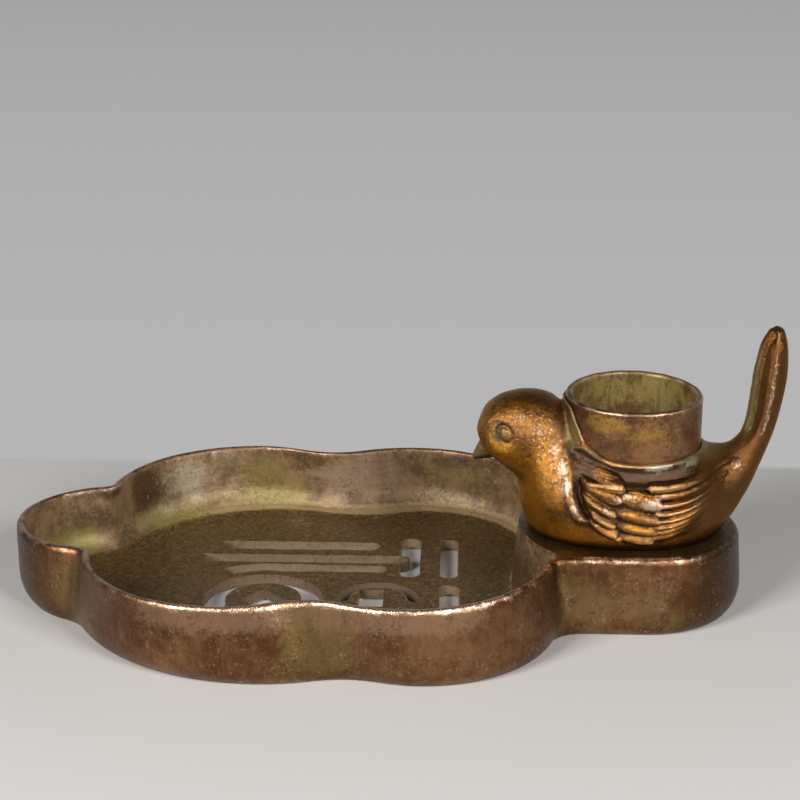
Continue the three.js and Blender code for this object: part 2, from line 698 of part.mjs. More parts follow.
const burner = new THREE.Group();
const [frontScrew, backScrew] = screwPlaces();
const pieces = [
  ["dish", makeDish(), bronze],
  ["bird", makeBird(), polished],
  ["cup", makeCup(), bronze],
  ["cone_seat", makeSeat(), brass],
  ["breast_washer", makeWasher(frontScrew), brass],
  ["tail_washer", makeWasher(backScrew), brass],
  ["breast_screw", makeScrew(frontScrew), brass],
  ["tail_screw", makeScrew(backScrew), brass],
];
for (const [name, solid, material] of pieces) {
  const mesh = new THREE.Mesh(geometryOf(solid), material);
  mesh.name = name;
  burner.add(mesh);
}

// The origin is under the middle of the object's box
const box = new THREE.Box3().setFromObject(burner);
burner.position.set(-(box.min.x + box.max.x) / 2, -(box.min.y + box.max.y) / 2, -box.min.z);
burner.updateMatrixWorld(true);

export default burner;
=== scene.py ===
# %% [markdown]
# # A bronze incense burner with a bird
# The real object is a lobed dish with a pierced floor, a bird and a cup, each cast in bronze,
# worn by hands for a long time. The CAD frame gives the place and size of every piece. This
# script makes the fine skin of each one over it, and gives them bronze, light and a camera.

import math

import bmesh
import bpy
import numpy as np
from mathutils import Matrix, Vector


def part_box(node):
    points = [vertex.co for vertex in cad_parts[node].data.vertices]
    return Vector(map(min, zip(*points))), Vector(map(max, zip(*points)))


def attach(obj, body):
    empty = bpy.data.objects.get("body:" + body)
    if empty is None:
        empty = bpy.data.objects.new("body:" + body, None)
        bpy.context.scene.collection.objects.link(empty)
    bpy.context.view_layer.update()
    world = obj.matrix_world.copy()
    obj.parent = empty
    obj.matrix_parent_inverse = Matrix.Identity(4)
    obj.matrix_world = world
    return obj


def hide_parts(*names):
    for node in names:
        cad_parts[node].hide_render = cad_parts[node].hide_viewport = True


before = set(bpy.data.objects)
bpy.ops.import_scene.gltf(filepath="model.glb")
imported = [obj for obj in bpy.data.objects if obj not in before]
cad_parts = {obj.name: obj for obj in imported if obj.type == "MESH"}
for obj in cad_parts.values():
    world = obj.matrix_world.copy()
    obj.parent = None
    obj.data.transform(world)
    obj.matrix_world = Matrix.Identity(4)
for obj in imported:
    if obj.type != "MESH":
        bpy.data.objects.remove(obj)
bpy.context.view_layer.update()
print("CAD nodes:", sorted(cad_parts))

# %% [markdown]
# Everything below is measured in millimetres from the middle of the dish. The bird and the cup
# stand on one upright axis, so the loose seat in the cup tells how far the CAD frame is shifted.

# %% Units and the shift between the dish and the frame
MM = 0.001
DISH_LENGTH = 236.2
PERCH_X = 0.3815 * DISH_LENGTH
AXIS_X = PERCH_X - 5.6
BIRD_FOOT = 27.3

seat_low, seat_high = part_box("cone_seat")
SHIFT = Vector(((seat_low[0] + seat_high[0]) / 2 - AXIS_X * MM, 0, 0))
print("frame shift in mm:", round(SHIFT.x / MM, 2))


def place(x, y, z):
    """A point measured in millimetres from the dish's middle, in the frame."""
    return Vector((x, y, z)) * MM + SHIFT


# %% [markdown]
# The photograph was taken with a long lens from in front, a little above the rim, so the inside
# of the dish and the top of the bird both show. The lens is worked out from the picture's width
# of 800 pixels.

# %% Camera
PHOTO_PX = 800
FOCAL_PX = 1951.3
SENSOR_MM = 36
STANDS_AT = (28.96, -598.43, 279.02)
LOOKS_AT = (8.69, 0.29, 68.84)

camera = bpy.data.objects.new("camera", bpy.data.cameras.new("camera"))
bpy.context.scene.collection.objects.link(camera)
camera.data.sensor_width = SENSOR_MM
camera.data.lens = SENSOR_MM * FOCAL_PX / PHOTO_PX
camera.location = place(*STANDS_AT)
aim = place(*LOOKS_AT) - camera.location
camera.rotation_euler = aim.to_track_quat("-Z", "Y").to_euler()
bpy.context.scene.camera = camera
print("lens in mm:", round(camera.data.lens, 1))

# %% [markdown]
# Light, table and metal are all drawn with shader nodes. This shorthand adds nodes to one tree and
# joins their sockets, so that each effect further down reads as a short formula.

# %% Node shorthand
class Wiring:
    """Adds nodes to one tree and joins their sockets."""

    def __init__(self, tree):
        self.tree = tree

    def put(self, value, socket):
        """Joins a socket to another one, or sets it to a plain value."""
        if isinstance(value, bpy.types.NodeSocket):
            self.tree.links.new(value, socket)
        else:
            socket.default_value = value

    def add(self, kind, **settings):
        node = self.tree.nodes.new("ShaderNode" + kind)
        for name, value in settings.items():
            setattr(node, name, value)
        return node

    def feed(self, node, **values):
        """Fills a node's sockets by name, with _ for a space."""
        for name, value in values.items():
            self.put(value, node.inputs[name.replace("_", " ")])
        return node

    def math(self, operation, a, b):
        node = self.add("Math", operation=operation)
        self.put(a, node.inputs[0])
        self.put(b, node.inputs[1])
        return node.outputs[0]

    def plus(self, a, b):
        return self.math("ADD", a, b)

    def minus(self, a, b):
        return self.math("SUBTRACT", a, b)

    def times(self, a, b):
        return self.math("MULTIPLY", a, b)

    def highest(self, a, b):
        return self.math("MAXIMUM", a, b)

    def rise(self, value, low, high, kind="SMOOTHSTEP"):
        """0 up to low, 1 from high, and smooth or LINEAR between."""
        node = self.add("MapRange", interpolation_type=kind)
        return self.feed(node, Value=value, From_Min=low, From_Max=high).outputs["Result"]

    def mix(self, mask, under, over):
        """Shows one colour or the other by a mask."""
        node = self.add("Mix", data_type="RGBA")
        self.put(mask, node.inputs["Factor"])
        for colour, socket in ((under, node.inputs[6]), (over, node.inputs[7])):
            self.put((*colour, 1) if isinstance(colour, tuple) else colour, socket)
        return node.outputs[2]

    def blend(self, colour, mask, paint, weight=1.0):
        """Lays a paint over a colour where a mask is set."""
        return self.mix(self.times(mask, weight), colour, paint)

    def stored(self, name):
        """A number kept with the mesh's points."""
        return self.add("Attribute", attribute_name=name).outputs["Fac"]

    def noise(self, vector, scale, detail=5.0, rough=0.6):
        node = self.add("TexNoise")
        self.feed(node, Vector=vector, Scale=scale, Detail=detail, Roughness=rough)
        return node.outputs["Fac"]


# %% [markdown]
# Metal shows what stands around it. The shadows on the table run back to the left and to the
# right, so two soft lamps stand in front of the object, one on each side and well above it. The
# rest of the room is dim, apart from the pale wall behind.

# %% Light
scene = bpy.context.scene
scene.view_settings.view_transform = "Standard"
LAMP_REACH = 1.05
LAMP_SIZE = 0.36
LAMP_HEIGHT = 30
LAMPS = {"left lamp": (-40, 10.4), "right lamp": (40, 8.8)}

for name, (azimuth, power) in LAMPS.items():
    aside, above = math.radians(azimuth), math.radians(LAMP_HEIGHT)
    stand = Vector((math.sin(aside) * math.cos(above), -math.cos(aside) * math.cos(above),
                    math.sin(above)))
    lamp = bpy.data.objects.new(name, bpy.data.lights.new(name, "AREA"))
    scene.collection.objects.link(lamp)
    lamp.data.size = LAMP_SIZE
    lamp.data.energy = power
    lamp.location = stand * LAMP_REACH
    lamp.rotation_euler = (-stand).to_track_quat("-Z", "Y").to_euler()

# %% Room
ROOM_DIM = (0.045, 0.045, 0.048)
ROOM_WALL = (0.36, 0.36, 0.365)
world = bpy.data.worlds.new("studio")
scene.world = world
world.use_nodes = True
w = Wiring(world.node_tree)
direction = w.feed(w.add("SeparateXYZ"), Vector=w.add("TexCoord").outputs["Generated"])
behind = w.rise(direction.outputs["Y"], -0.3, 0.3, "LINEAR")
low_down = w.rise(direction.outputs["Z"], 0.75, 0.35, "LINEAR")
w.feed(w.tree.nodes["Background"], Color=w.mix(w.times(behind, low_down), ROOM_DIM, ROOM_WALL))

# %% [markdown]
# The object stands on a pale table in front of a grey wall. One flat floor does for both: its
# paint turns from table to wall colour along a line behind the dish, so nothing stands in the way
# when the object is seen from behind.

# %% Floor
FLOOR_REACH = 4
TABLE = (0.57, 0.555, 0.53, 1)
TABLE_ROUGHNESS = 0.8
WALL_Y = 0.121
# The glow's grey at each distance back: painted light, brighter near the table.
WALL_GLOW = {WALL_Y: (0.475, 0.465, 0.47, 1), 0.3: (0.4, 0.393, 0.4, 1), 1.5: (0.365, 0.365, 0.37, 1)}

floor_mesh = bpy.data.meshes.new("floor")
floor_mesh.from_pydata([(x * FLOOR_REACH, y * FLOOR_REACH, 0)
                        for x, y in ((-1, -1), (1, -1), (1, 1), (-1, 1))], [], [(0, 1, 2, 3)])
floor = bpy.data.objects.new("floor", floor_mesh)
scene.collection.objects.link(floor)
paint = bpy.data.materials.new("table and wall")
paint.use_nodes = True
w = Wiring(paint.node_tree)
place_in_room = w.feed(w.add("SeparateXYZ"), Vector=w.add("NewGeometry").outputs["Position"])
how_far = place_in_room.outputs["Y"]
ramp = w.feed(w.add("ValToRGB"), Fac=w.rise(how_far, 0, max(WALL_GLOW), "LINEAR"))
stops = ramp.color_ramp.elements
for stop, (far, colour) in zip((stops[0], stops[1], stops.new(0.5)), sorted(WALL_GLOW.items())):
    stop.position, stop.color = far / max(WALL_GLOW), colour
shader = w.tree.nodes["Principled BSDF"]
shader.inputs["Base Color"].default_value = TABLE
shader.inputs["Roughness"].default_value = TABLE_ROUGHNESS

# %% [markdown]
# The wall is a glow rather than a lit surface: it shows its own grey, brighter near the table and
# darker further back, to the camera and in the metal, whatever the lamps do. For all other rays it
# is the same plain table.

# %% Wall
WALL_EDGE = 0.002
glow = w.feed(w.add("Emission"), Color=ramp.outputs["Color"])
rays = w.add("LightPath").outputs
seen = w.highest(w.highest(rays["Is Camera Ray"], rays["Is Glossy Ray"]),
                 rays["Is Transmission Ray"])
past_table = w.rise(how_far, WALL_Y - WALL_EDGE, WALL_Y + WALL_EDGE, "LINEAR")
table_or_wall = w.add("MixShader")
for value, socket in zip((w.times(seen, past_table), shader.outputs[0], glow.outputs[0]),
                         table_or_wall.inputs):
    w.put(value, socket)
w.feed(w.tree.nodes["Material Output"], Surface=table_or_wall.outputs[0])
floor_mesh.materials.append(paint)

# %% [markdown]
# A casting has no sharp edges. A handy way to get that is to build each one from overlapping
# closed forms, melt them into one skin with a voxel remesh, and then push that skin's points about
# with a little arithmetic. These helpers do the repeated work.

# %% Mesh helpers
NEAR_AXIS = 0.01


def closed_object(name, points, faces):
    """An object from points in millimetres and faces."""
    mesh = bpy.data.meshes.new(name)
    mesh.from_pydata([place(*p) for p in np.asarray(points, float).tolist()], [], faces)
    made = bmesh.new()
    made.from_mesh(mesh)
    bmesh.ops.recalc_face_normals(made, faces=made.faces)
    made.to_mesh(mesh)
    made.free()
    made = bpy.data.objects.new(name, mesh)
    scene.collection.objects.link(made)
    return made


def join(name, objects):
    """Several objects as one, without cutting them."""
    with bpy.context.temp_override(active_object=objects[0], selected_editable_objects=objects):
        bpy.ops.object.join()
    objects[0].name = name
    return objects[0]


def apply_modifiers(thing):
    """Bakes an object's modifiers into its mesh."""
    shown = thing.evaluated_get(bpy.context.evaluated_depsgraph_get())
    mesh = bpy.data.meshes.new_from_object(shown)
    thing.modifiers.clear()
    old, thing.data = thing.data, mesh
    bpy.data.meshes.remove(old)


def melt(thing, voxel):
    """One skin over everything in the object, with voxels of a size in millimetres."""
    remesh = thing.modifiers.new("melt", "REMESH")
    remesh.mode = "VOXEL"
    remesh.voxel_size = voxel * MM
    apply_modifiers(thing)


def cut(thing, tool, operation="DIFFERENCE"):
    """Cuts a closed tool out of a closed object, or with INTERSECT keeps what the two share."""
    shape = thing.modifiers.new("cut", "BOOLEAN")
    shape.operation = operation
    shape.object = tool
    shape.solver = "MANIFOLD"
    apply_modifiers(thing)
    bpy.data.objects.remove(tool)


def quads(rings, around, closed=False, first=0):
    """Faces from each ring of points to the next and, if closed, from the last to the first."""
    return [(first + i * around + k, first + i * around + (k + 1) % around,
             first + (i + 1) % rings * around + (k + 1) % around,
             first + (i + 1) % rings * around + k)
            for i in range(rings if closed else rings - 1) for k in range(around)]


def prism(name, outline, low, high):
    """An upright closed prism over an outline, between two heights."""
    n = len(outline)
    points = [(x, y, z) for z in (low, high) for x, y in outline]
    return closed_object(name, points, [*quads(2, n), tuple(range(n)), tuple(range(n, 2 * n))])


def lathe(name, profile, x, sides=96, wobble=None):
    """A closed profile of (radius, height), turned about an upright axis."""
    turns = np.linspace(0, 2 * math.pi, sides, endpoint=False)
    rows = []
    for radius, height in profile:
        out = np.full(sides, float(radius))
        up = np.full(sides, float(height))
        if wobble is not None:
            out, up = wobble(out, up, turns)
        rows.append(np.stack([x + out * np.cos(turns), out * np.sin(turns), up], 1))
    return closed_object(name, np.vstack(rows), quads(len(rows), sides, closed=True))


def plug(name, r, low, high, x, sides=96):
    """A closed upright cylinder, as a tool for round holes."""
    return lathe(name, [(NEAR_AXIS, low), (r, low), (r, high), (NEAR_AXIS, high)], x, sides=sides)


# %% [markdown]
# The next helpers read a mesh's points into arrays, blur them over their neighbours, and make
# smooth noise. The blur also shows where a surface is hollow or proud: a blurred point lies
# outside the skin in a hollow, and inside it on a ridge.

# %% Points, blur and noise
def points_of(thing):
    """A mesh's points and outward normals, in millimetres from the dish's middle."""
    count = len(thing.data.vertices)
    flat = np.empty(count * 3, np.float32)
    thing.data.vertices.foreach_get("co", flat)
    points = (flat.reshape(-1, 3) - np.array(SHIFT)) / MM
    thing.data.vertices.foreach_get("normal", flat)
    return points.astype(float), flat.reshape(-1, 3).astype(float)


def set_points(thing, points):
    """Puts moved points back into the mesh."""
    moved = points * MM + np.array(SHIFT)
    thing.data.vertices.foreach_set("co", moved.astype(np.float32).ravel())
    thing.data.update()


def neighbours(thing):
    """The mesh's edges as pairs of points."""
    pairs = np.empty(len(thing.data.edges) * 2, np.int32)
    thing.data.edges.foreach_get("vertices", pairs)
    return pairs.reshape(-1, 2)


def blur(values, pairs, rounds, keep=0.5):
    """Averages values over each point's neighbours, several times."""
    values = np.array(values, float)
    count = len(values)
    flat = values.reshape(count, -1)
    degree = np.maximum(np.bincount(pairs.ravel(), minlength=count), 1)
    for _ in range(rounds):
        for axis in range(flat.shape[1]):
            column = flat[:, axis]
            total = np.bincount(pairs[:, 0], column[pairs[:, 1]], count)
            total += np.bincount(pairs[:, 1], column[pairs[:, 0]], count)
            flat[:, axis] = keep * column + (1 - keep) * total / degree
    return flat.reshape(values.shape)


def noise(points, size, seed=0):
    """Smooth noise from -1 to 1, with lumps of about a size in millimetres."""
    spot = points / size + 57.3 * (seed + 1)
    cell = np.floor(spot).astype(np.int64)
    part = spot - cell
    part = part * part * (3 - 2 * part)
    total = np.zeros(len(points))
    for corner in range(8):
        step = np.array([corner & 1, corner >> 1 & 1, corner >> 2 & 1])
        key = cell + step
        mixed = (key[:, 0] * 73856093) ^ (key[:, 1] * 19349663) ^ (key[:, 2] * 83492791)
        mixed = (mixed * 2654435761 + seed * 97) & 0xFFFFFF
        mixed = (mixed ^ (mixed >> 11)) * 2246822519 & 0xFFFFFF
        weight = np.prod(np.where(step, part, 1 - part), axis=1)
        total += weight * (mixed / 0xFFFFFF * 2 - 1)
    return total


def step(value, low, high):
    """Rises smoothly from 0 to 1 between two values."""
    t = np.clip((value - low) / (high - low), 0, 1)
    return t * t * (3 - 2 * t)


def store(thing, name, values):
    """Keeps one number for each point, for the materials to read."""
    layer = thing.data.attributes.new(name, "FLOAT", "POINT")
    layer.data.foreach_set("value", np.asarray(values, np.float32))


def measure_wear(thing, fine, broad):
    """Stores where the skin stands proud or lies hollow, over two widths."""
    points, normals = points_of(thing)
    pairs = neighbours(thing)
    near = blur(points, pairs, fine)
    far = blur(near, pairs, broad)
    depth = np.einsum("ij,ij->i", near - points, normals)
    sink = np.einsum("ij,ij->i", far - points, normals)
    store(thing, "ridge", blur(-depth, pairs, 1))
    store(thing, "hollow", sink)
    print(thing.name, len(points), "points; hollow", np.round(np.percentile(sink, (2, 98)), 2),
          "ridge", np.round(np.percentile(-depth, (2, 98)), 3))


def finish_skin(thing):
    """Smooth shading all over, apart from the cut edges."""
    thing.data.polygons.foreach_set("use_smooth", np.ones(len(thing.data.polygons), bool))
    thing.data.set_sharp_from_angle(angle=math.radians(50))


# %% [markdown]
# The dish follows a row of circles in plan: one for each lobe, and a small one rounding the notch
# between each pair. The foot has its own row of circles, a little different, and the wall runs
# between the two. Points go round both in step, so any height between them has its own outline.

# %% Dish outline
RIM_PLAN = {
    "end": (-0.3861, 0, 0.1109), "left": (-0.1931, 0.0948, 0.1943),
    "right": (0.0474, 0.0915, 0.199), "perch": (0.3815, 0, 0.1215),
    "end notch": 0.0212, "side notch": 0.1202, "perch notch": 0.0148,
}
FOOT_CHANGE = {
    "end": (3.7, 0, 1.7), "left": (11.9, -20.4, 19.9),
    "right": (6.1, 3.7, -4.9), "perch": (-1, 0, 1),
    "end notch": 13.9, "side notch": 7.9, "perch notch": 9.3,
}
OUTLINE_STEPS = {"perch": 60, "perch side": 18, "perch notch": 24, "right": 78,
                 "side notch": 30, "left": 84, "end notch": 24, "end": 42}
DISH_HEIGHT = 27

rim_plan = {name: np.array(part) * DISH_LENGTH for name, part in RIM_PLAN.items()}
foot_plan = {name: rim_plan[name] + np.array(change) for name, change in FOOT_CHANGE.items()}


def bearing(a, b):
    return math.atan2(b[1] - a[1], b[0] - a[0])


def past(angle, start, turn):
    """The same direction, brought past another while turning one way."""
    while turn * (angle - start) < 0:
        angle += turn * 2 * math.pi
    while turn * (angle - start) > 2 * math.pi:
        angle -= turn * 2 * math.pi
    return angle


def notch_between(a, b, r):
    """The circle that rounds the notch between two lobes, outside both."""
    reach_a, reach_b = a[2] + r, b[2] + r
    dx, dy = b[0] - a[0], b[1] - a[1]
    apart = math.hypot(dx, dy)
    along = (reach_a ** 2 - reach_b ** 2 + apart ** 2) / (2 * apart)
    aside = math.sqrt(reach_a ** 2 - along ** 2)
    return (a[0] + (along * dx + aside * dy) / apart, a[1] + (along * dy - aside * dx) / apart, r)


def arc_row(circle, start, end, side, steps):
    """Points and outward normals along an arc, without its last; side is -1 in a notch."""
    turns = np.linspace(start, end, steps, endpoint=False)
    out = np.stack([np.cos(turns), np.sin(turns)], 1)
    return np.hstack([np.array(circle[:2]) + circle[2] * out, side * out])


def outline(plan):
    """One plan of the dish, as rows of x, y and the outward normal."""
    end, left, right, perch = (plan[name] for name in ("end", "left", "right", "perch"))
    reach = perch[2] + plan["perch notch"]
    across = right[2] + plan["perch notch"]
    perch_notch = (right[0] + math.sqrt(across ** 2 - (reach - right[1]) ** 2), reach,
                   plan["perch notch"])
    side_notch = notch_between(right, left, plan["side notch"])
    end_notch = notch_between(left, end, plan["end notch"])
    steps = OUTLINE_STEPS
    quarter, half_turn = math.pi / 2, math.pi
    along = np.arange(steps["perch side"]) / steps["perch side"]
    level = np.ones(len(along))
    straight = np.stack([perch[0] + (perch_notch[0] - perch[0]) * along, perch[2] * level,
                         0 * level, level], 1)
    on_right, from_side = bearing(right, perch_notch), bearing(right, side_notch)
    on_left, to_end = bearing(left, side_notch), bearing(left, end_notch)
    on_end = bearing(end, end_notch)
    half = np.vstack([
        arc_row(perch, 0, quarter, 1, steps["perch"]),
        straight,
        arc_row(perch_notch, -quarter, past(on_right + half_turn, -quarter, -1),
                -1, steps["perch notch"]),
        arc_row(right, on_right, past(from_side, on_right, 1), 1, steps["right"]),
        arc_row(side_notch, from_side + half_turn,
                past(on_left + half_turn, from_side + half_turn, -1), -1, steps["side notch"]),
        arc_row(left, on_left, past(to_end, on_left, 1), 1, steps["left"]),
        arc_row(end_notch, to_end + half_turn,
                past(on_end + half_turn, to_end + half_turn, -1), -1, steps["end notch"]),
        arc_row(end, on_end, past(half_turn, on_end, 1), 1, steps["end"]),
        [[end[0] - end[2], 0, -1, 0]],
    ])
    return np.vstack([half, half[1:-1][::-1] * (1, -1, 1, -1)])


rim_outline, foot_outline = outline(rim_plan), outline(foot_plan)
print("outline points:", len(rim_outline), "rim from", rim_outline[:, 0].min().round(1),
      "to", rim_outline[:, 0].max().round(1))


def outline_rows(z):
    """The dish's outline at a height, as points and outward normals."""
    mixed = foot_outline + (rim_outline - foot_outline) * (z / DISH_HEIGHT)
    return mixed[:, :2], mixed[:, 2:] / np.linalg.norm(mixed[:, 2:], axis=1, keepdims=True)


def outline_at(z, out=0):
    """The dish's outline at a height, drawn out by an amount."""
    line, normal = outline_rows(z)
    return line + out * normal


# %% [markdown]
# The wall swells out below a thin rounded lip, and a cove leads from it into the flat floor.
# Its section is swept round the outline. The section starts at the foot, goes up the outside, over
# the lip and down the inside, and comes back under the floor.

# %% Dish wall
BULGE = 3
LIP = {"out": 2, "down": 3, "in": 1.6, "down inside": 2}
FOOT_ROUND = {"inset": 1.5, "up": 9}
FOOT_WIDTH = 4
FOOT_HEIGHT = 0.6
FLOOR_TOP = 4
COVE_R = 8


def ellipse(cx, cz, rx, rz, start, end, steps):
    turns = np.radians(np.linspace(start, end, steps + 1))
    return list(zip(cx + rx * np.cos(turns), cz + rz * np.sin(turns)))


foot_out = -FOOT_ROUND["inset"]
cove_in = -LIP["in"] - COVE_R
section = (
    ellipse(foot_out, FOOT_ROUND["up"], BULGE - foot_out, FOOT_ROUND["up"], -90, 0, 12)
    + ellipse(0, DISH_HEIGHT - LIP["down"], LIP["out"], LIP["down"], 0, 90, 8)
    + ellipse(0, DISH_HEIGHT - LIP["down inside"], LIP["in"], LIP["down inside"], 90, 180, 6)[1:]
    + ellipse(cove_in, FLOOR_TOP + COVE_R, COVE_R, COVE_R, 0, -90, 12)
    + [(cove_in, FOOT_HEIGHT), (foot_out - FOOT_WIDTH, FOOT_HEIGHT), (foot_out - FOOT_WIDTH, 0)]
)
around = len(rim_outline)
rows = [np.column_stack([outline_at(z, out), np.full(around, z)]) for out, z in section]
wall = closed_object("wall", np.vstack(rows), quads(len(rows), around, closed=True))
print("wall faces:", len(wall.data.polygons))

# %% [markdown]
# The floor is pierced in an open pattern: long bars and cross bars on two sides of a large coin
# with a square eye, and a small coin beside it. Each opening is one flat outline.

# %% Pierced floor
def bend(x, y, r, start, end, steps=12):
    """Points of an arc in the floor, both ends included, with angles in degrees."""
    turns = np.radians(np.linspace(start, end, steps + 1))
    return list(zip(x + r * np.cos(turns), y + r * np.sin(turns)))


def long_slot(far_left, near_left, right, near, far):
    r = (far - near) / 2
    return [(near_left, near), *bend(right - r, near + r, r, -90, 90), (far_left, far)]


def cross_slot(x, near, far, width):
    r = width / 2
    return bend(x, far - r, r, 0, 180) + bend(x, near + r, r, 180, 360)


def ring_slots(x, y, outer, inner, bars, bar_width):
    """The openings of a ring, between the bars left across it."""
    lean_out = math.degrees(math.asin(bar_width / 2 / outer))
    lean_in = math.degrees(math.asin(bar_width / 2 / inner))
    ends = bars[1:] + [bars[0] + 360]
    return [bend(x, y, outer, start + lean_out, end - lean_out, 40)
            + bend(x, y, inner, end - lean_in, start + lean_in, 40)
            for start, end in zip(bars, ends)]


COIN = (-36, -14.5)
COIN_OUTER = 19.5
HOOK_INNER = COIN_OUTER + 3.4
HOOK_WIDTH = 5.4
openings = [
    long_slot(-54.6, -50.8, 0.5, 26.6, 33),
    long_slot(-60.1, -57.9, 11.5, 15.6, 21.8),
    long_slot(-52, -49, 6, -44, -37.6),
    cross_slot(11.7, 4.4, 36.6, 6.8),
    cross_slot(25, 4, 36.2, 6),
    cross_slot(25.3, -34, -2.2, 6.4),
    *ring_slots(*COIN, COIN_OUTER, 12.6, [230, 310], 6),
    bend(*COIN, 7.4, 0, 270, 3),
    *ring_slots(1.9, -13.6, 13.1, 9.6, [200, 270, 340], 5),
    [(-4.6, -19), (3.6, -19), (3.6, -6), (-4.6, -6)],
    bend(*COIN, HOOK_INNER, 122, 80, 16)
    + bend(3.5 - HOOK_WIDTH / 2, 7.8 + HOOK_WIDTH / 2, HOOK_WIDTH / 2, -90, 90)
    + bend(*COIN, HOOK_INNER + HOOK_WIDTH, 84, 122, 16),
]
plate = prism("plate", outline_at(FLOOR_TOP, 1.5 + cove_in), FOOT_HEIGHT, FLOOR_TOP)
print("openings in the floor:", len(openings))

# %% [markdown]
# The perch under the bird is a round drum set into the end lobe, flush with the lip. Its front is
# a wall inside the dish, and its flat top is the deck that the bird stands on. It is hollow below,
# and the two screws go up through it.

# %% Perch
DRUM_R = 36.8
DRUM_FOOT_R = DRUM_R + 2
DRUM_FOOT = FLOOR_TOP - 2.4
DECK_THICKNESS = 3
DRUM_WALL = 3
SCREW_PLACES = (AXIS_X - 11, AXIS_X + 11)
SCREW_HOLE_R = 2.3

drum = lathe("perch drum", [
    (NEAR_AXIS, DRUM_FOOT), (DRUM_FOOT_R + 1.8, DRUM_FOOT), (DRUM_FOOT_R + 1.8, FLOOR_TOP),
    (DRUM_FOOT_R + 0.5, FLOOR_TOP + 0.5), (DRUM_FOOT_R, FLOOR_TOP + 1.8),
    (DRUM_R, DISH_HEIGHT), (NEAR_AXIS, DISH_HEIGHT)], AXIS_X, sides=180)
cut(drum, prism("lobe", outline_at(DISH_HEIGHT), 0, DISH_HEIGHT + 1), "INTERSECT")

# %% [markdown]
# Wall, floor and perch become one casting here. The blur takes the last steps out of the remesh.

# %% Melt the dish together
DISH_VOXEL = 0.6
dish = join("dish_casting", [wall, plate, drum])
melt(dish, DISH_VOXEL)
points, _ = points_of(dish)
set_points(dish, blur(points, neighbours(dish), 2))
print("dish points:", len(points))

# %% [markdown]
# An old lip is never straight: it has small nicks, and the wall waves slightly where the mould
# was dressed by hand. The floor is rough with dirt and casting grain. The moves are a few tenths
# of a millimetre, and inwards, so the dish keeps its size.

# %% Wear on the dish
WALL_INSET = 0.25
FLOOR_INSET = 0.08
points, normals = points_of(dish)
height = points[:, 2]
on_lip = step(height, DISH_HEIGHT - 3.5, DISH_HEIGHT - 1)
outside_perch = np.hypot(points[:, 0] - AXIS_X, points[:, 1]) > DRUM_R + 1
nicks = np.clip(noise(points, 3.4, 1) - 0.35, 0, 1) * 0.45
dents = np.clip(noise(points, 14, 2), -1, 1) * 0.18 + noise(points, 40, 3) * 0.25
on_floor = (np.abs(normals[:, 2]) > 0.8) & (height < FLOOR_TOP + 2)
grain = noise(points, 1.3, 4) * 0.07 + noise(points, 3.1, 5) * 0.1
moved = np.where(on_floor, grain - FLOOR_INSET,
                 dents - WALL_INSET - on_lip * nicks * outside_perch)
off_table = step(height, 0.2, 1.5)
points += normals * (np.minimum(moved, 0.05) * off_table)[:, None]
points[:, 2] = np.minimum(points[:, 2], DISH_HEIGHT)
set_points(dish, points)

# %% [markdown]
# The hollow under the perch, the screw holes and the openings in the floor come last, so that they
# keep their edges. With the cuts made, each point's wear can be measured.

# %% Cut the dish's openings
hollow = plug("perch hollow", DRUM_R - DRUM_WALL, -1, DISH_HEIGHT - DECK_THICKNESS, AXIS_X)
inner_lobe = prism("lobe", outline_at(DISH_HEIGHT, -DRUM_WALL - LIP["in"]), -2, DISH_HEIGHT)
cut(hollow, inner_lobe, "INTERSECT")
cut(dish, hollow)
for screw_x in SCREW_PLACES:
    cut(dish, plug("screw hole", SCREW_HOLE_R, 20, 30, screw_x, 24))
cut(dish, join("openings", [prism("opening", shape, FOOT_HEIGHT - 1, FLOOR_TOP + 1)
                            for shape in openings]))
finish_skin(dish)
measure_wear(dish, 6, 24)

# %% [markdown]
# The bird is lofted: a row of ovals runs from the forehead over the back to the tail tip, each
# leaning so that it stands across the body there. Each row below has its top and bottom point in
# the side view, its half width, and how full the oval is above and below. A smooth curve through
# the rows gives as many ovals between them as are wanted.

# %% Bird sections
# top x, top z, bottom x, bottom z, half width, fullness above, fullness below
BIRD_SECTIONS = np.array([
    (-50.4, 34.8, -49.9, 29, 3.8, 2, 2),
    (-47.8, 40.4, -46, 23.4, 8.9, 2, 2),
    (-41.8, 44.4, -42, 19.8, 12, 2, 2),
    (-33.8, 45.8, -38.4, 17, 13.6, 2, 2),
    (-27, 44.4, -36.9, 13.4, 14.8, 2, 2),
    (-22.7, 40.8, -36.5, 8.4, 16.8, 2, 2),
    (-19.6, 36, -34.6, 2.6, 19.4, 2, 2),
    (-16, 34.4, -30.6, -3.6, 22, 2, 2.1),
    (-9.5, 35.8, -19, -9.6, 25.4, 2, 2.2),
    (-0.5, 37.6, -4.5, -12.4, 26.8, 2, 2.2),
    (8.5, 37, 9.6, -12, 26, 2, 2.2),
    (16.5, 33.4, 21, -8, 22.6, 2, 2.1),
    (22.6, 28.6, 28.6, -2, 17.2, 2, 2),
    (27, 27.6, 33, 3.4, 12.6, 2, 2),
    (31, 28.4, 36.6, 9.6, 10, 1.8, 1.9),
    (33.8, 30.8, 39.9, 16.8, 8.7, 1.7, 1.9),
    (35.5, 34.4, 43.1, 25.2, 8.0, 1.6, 1.8),
    (36.6, 39.8, 45.9, 34, 7.7, 1.5, 1.8),
    (37.1, 46.4, 47.8, 43.2, 7.6, 1.5, 1.8),
    (37.9, 54.4, 48.9, 52.8, 7.3, 1.6, 1.8),
    (39.5, 62.2, 48.5, 61.6, 6.3, 1.8, 2),
    (42, 67.1, 47, 67.1, 4.0, 2, 2),
])
FOREHEAD = (-51, 0, 32)
TAIL_TIP = (44.7, 0, 68.4)


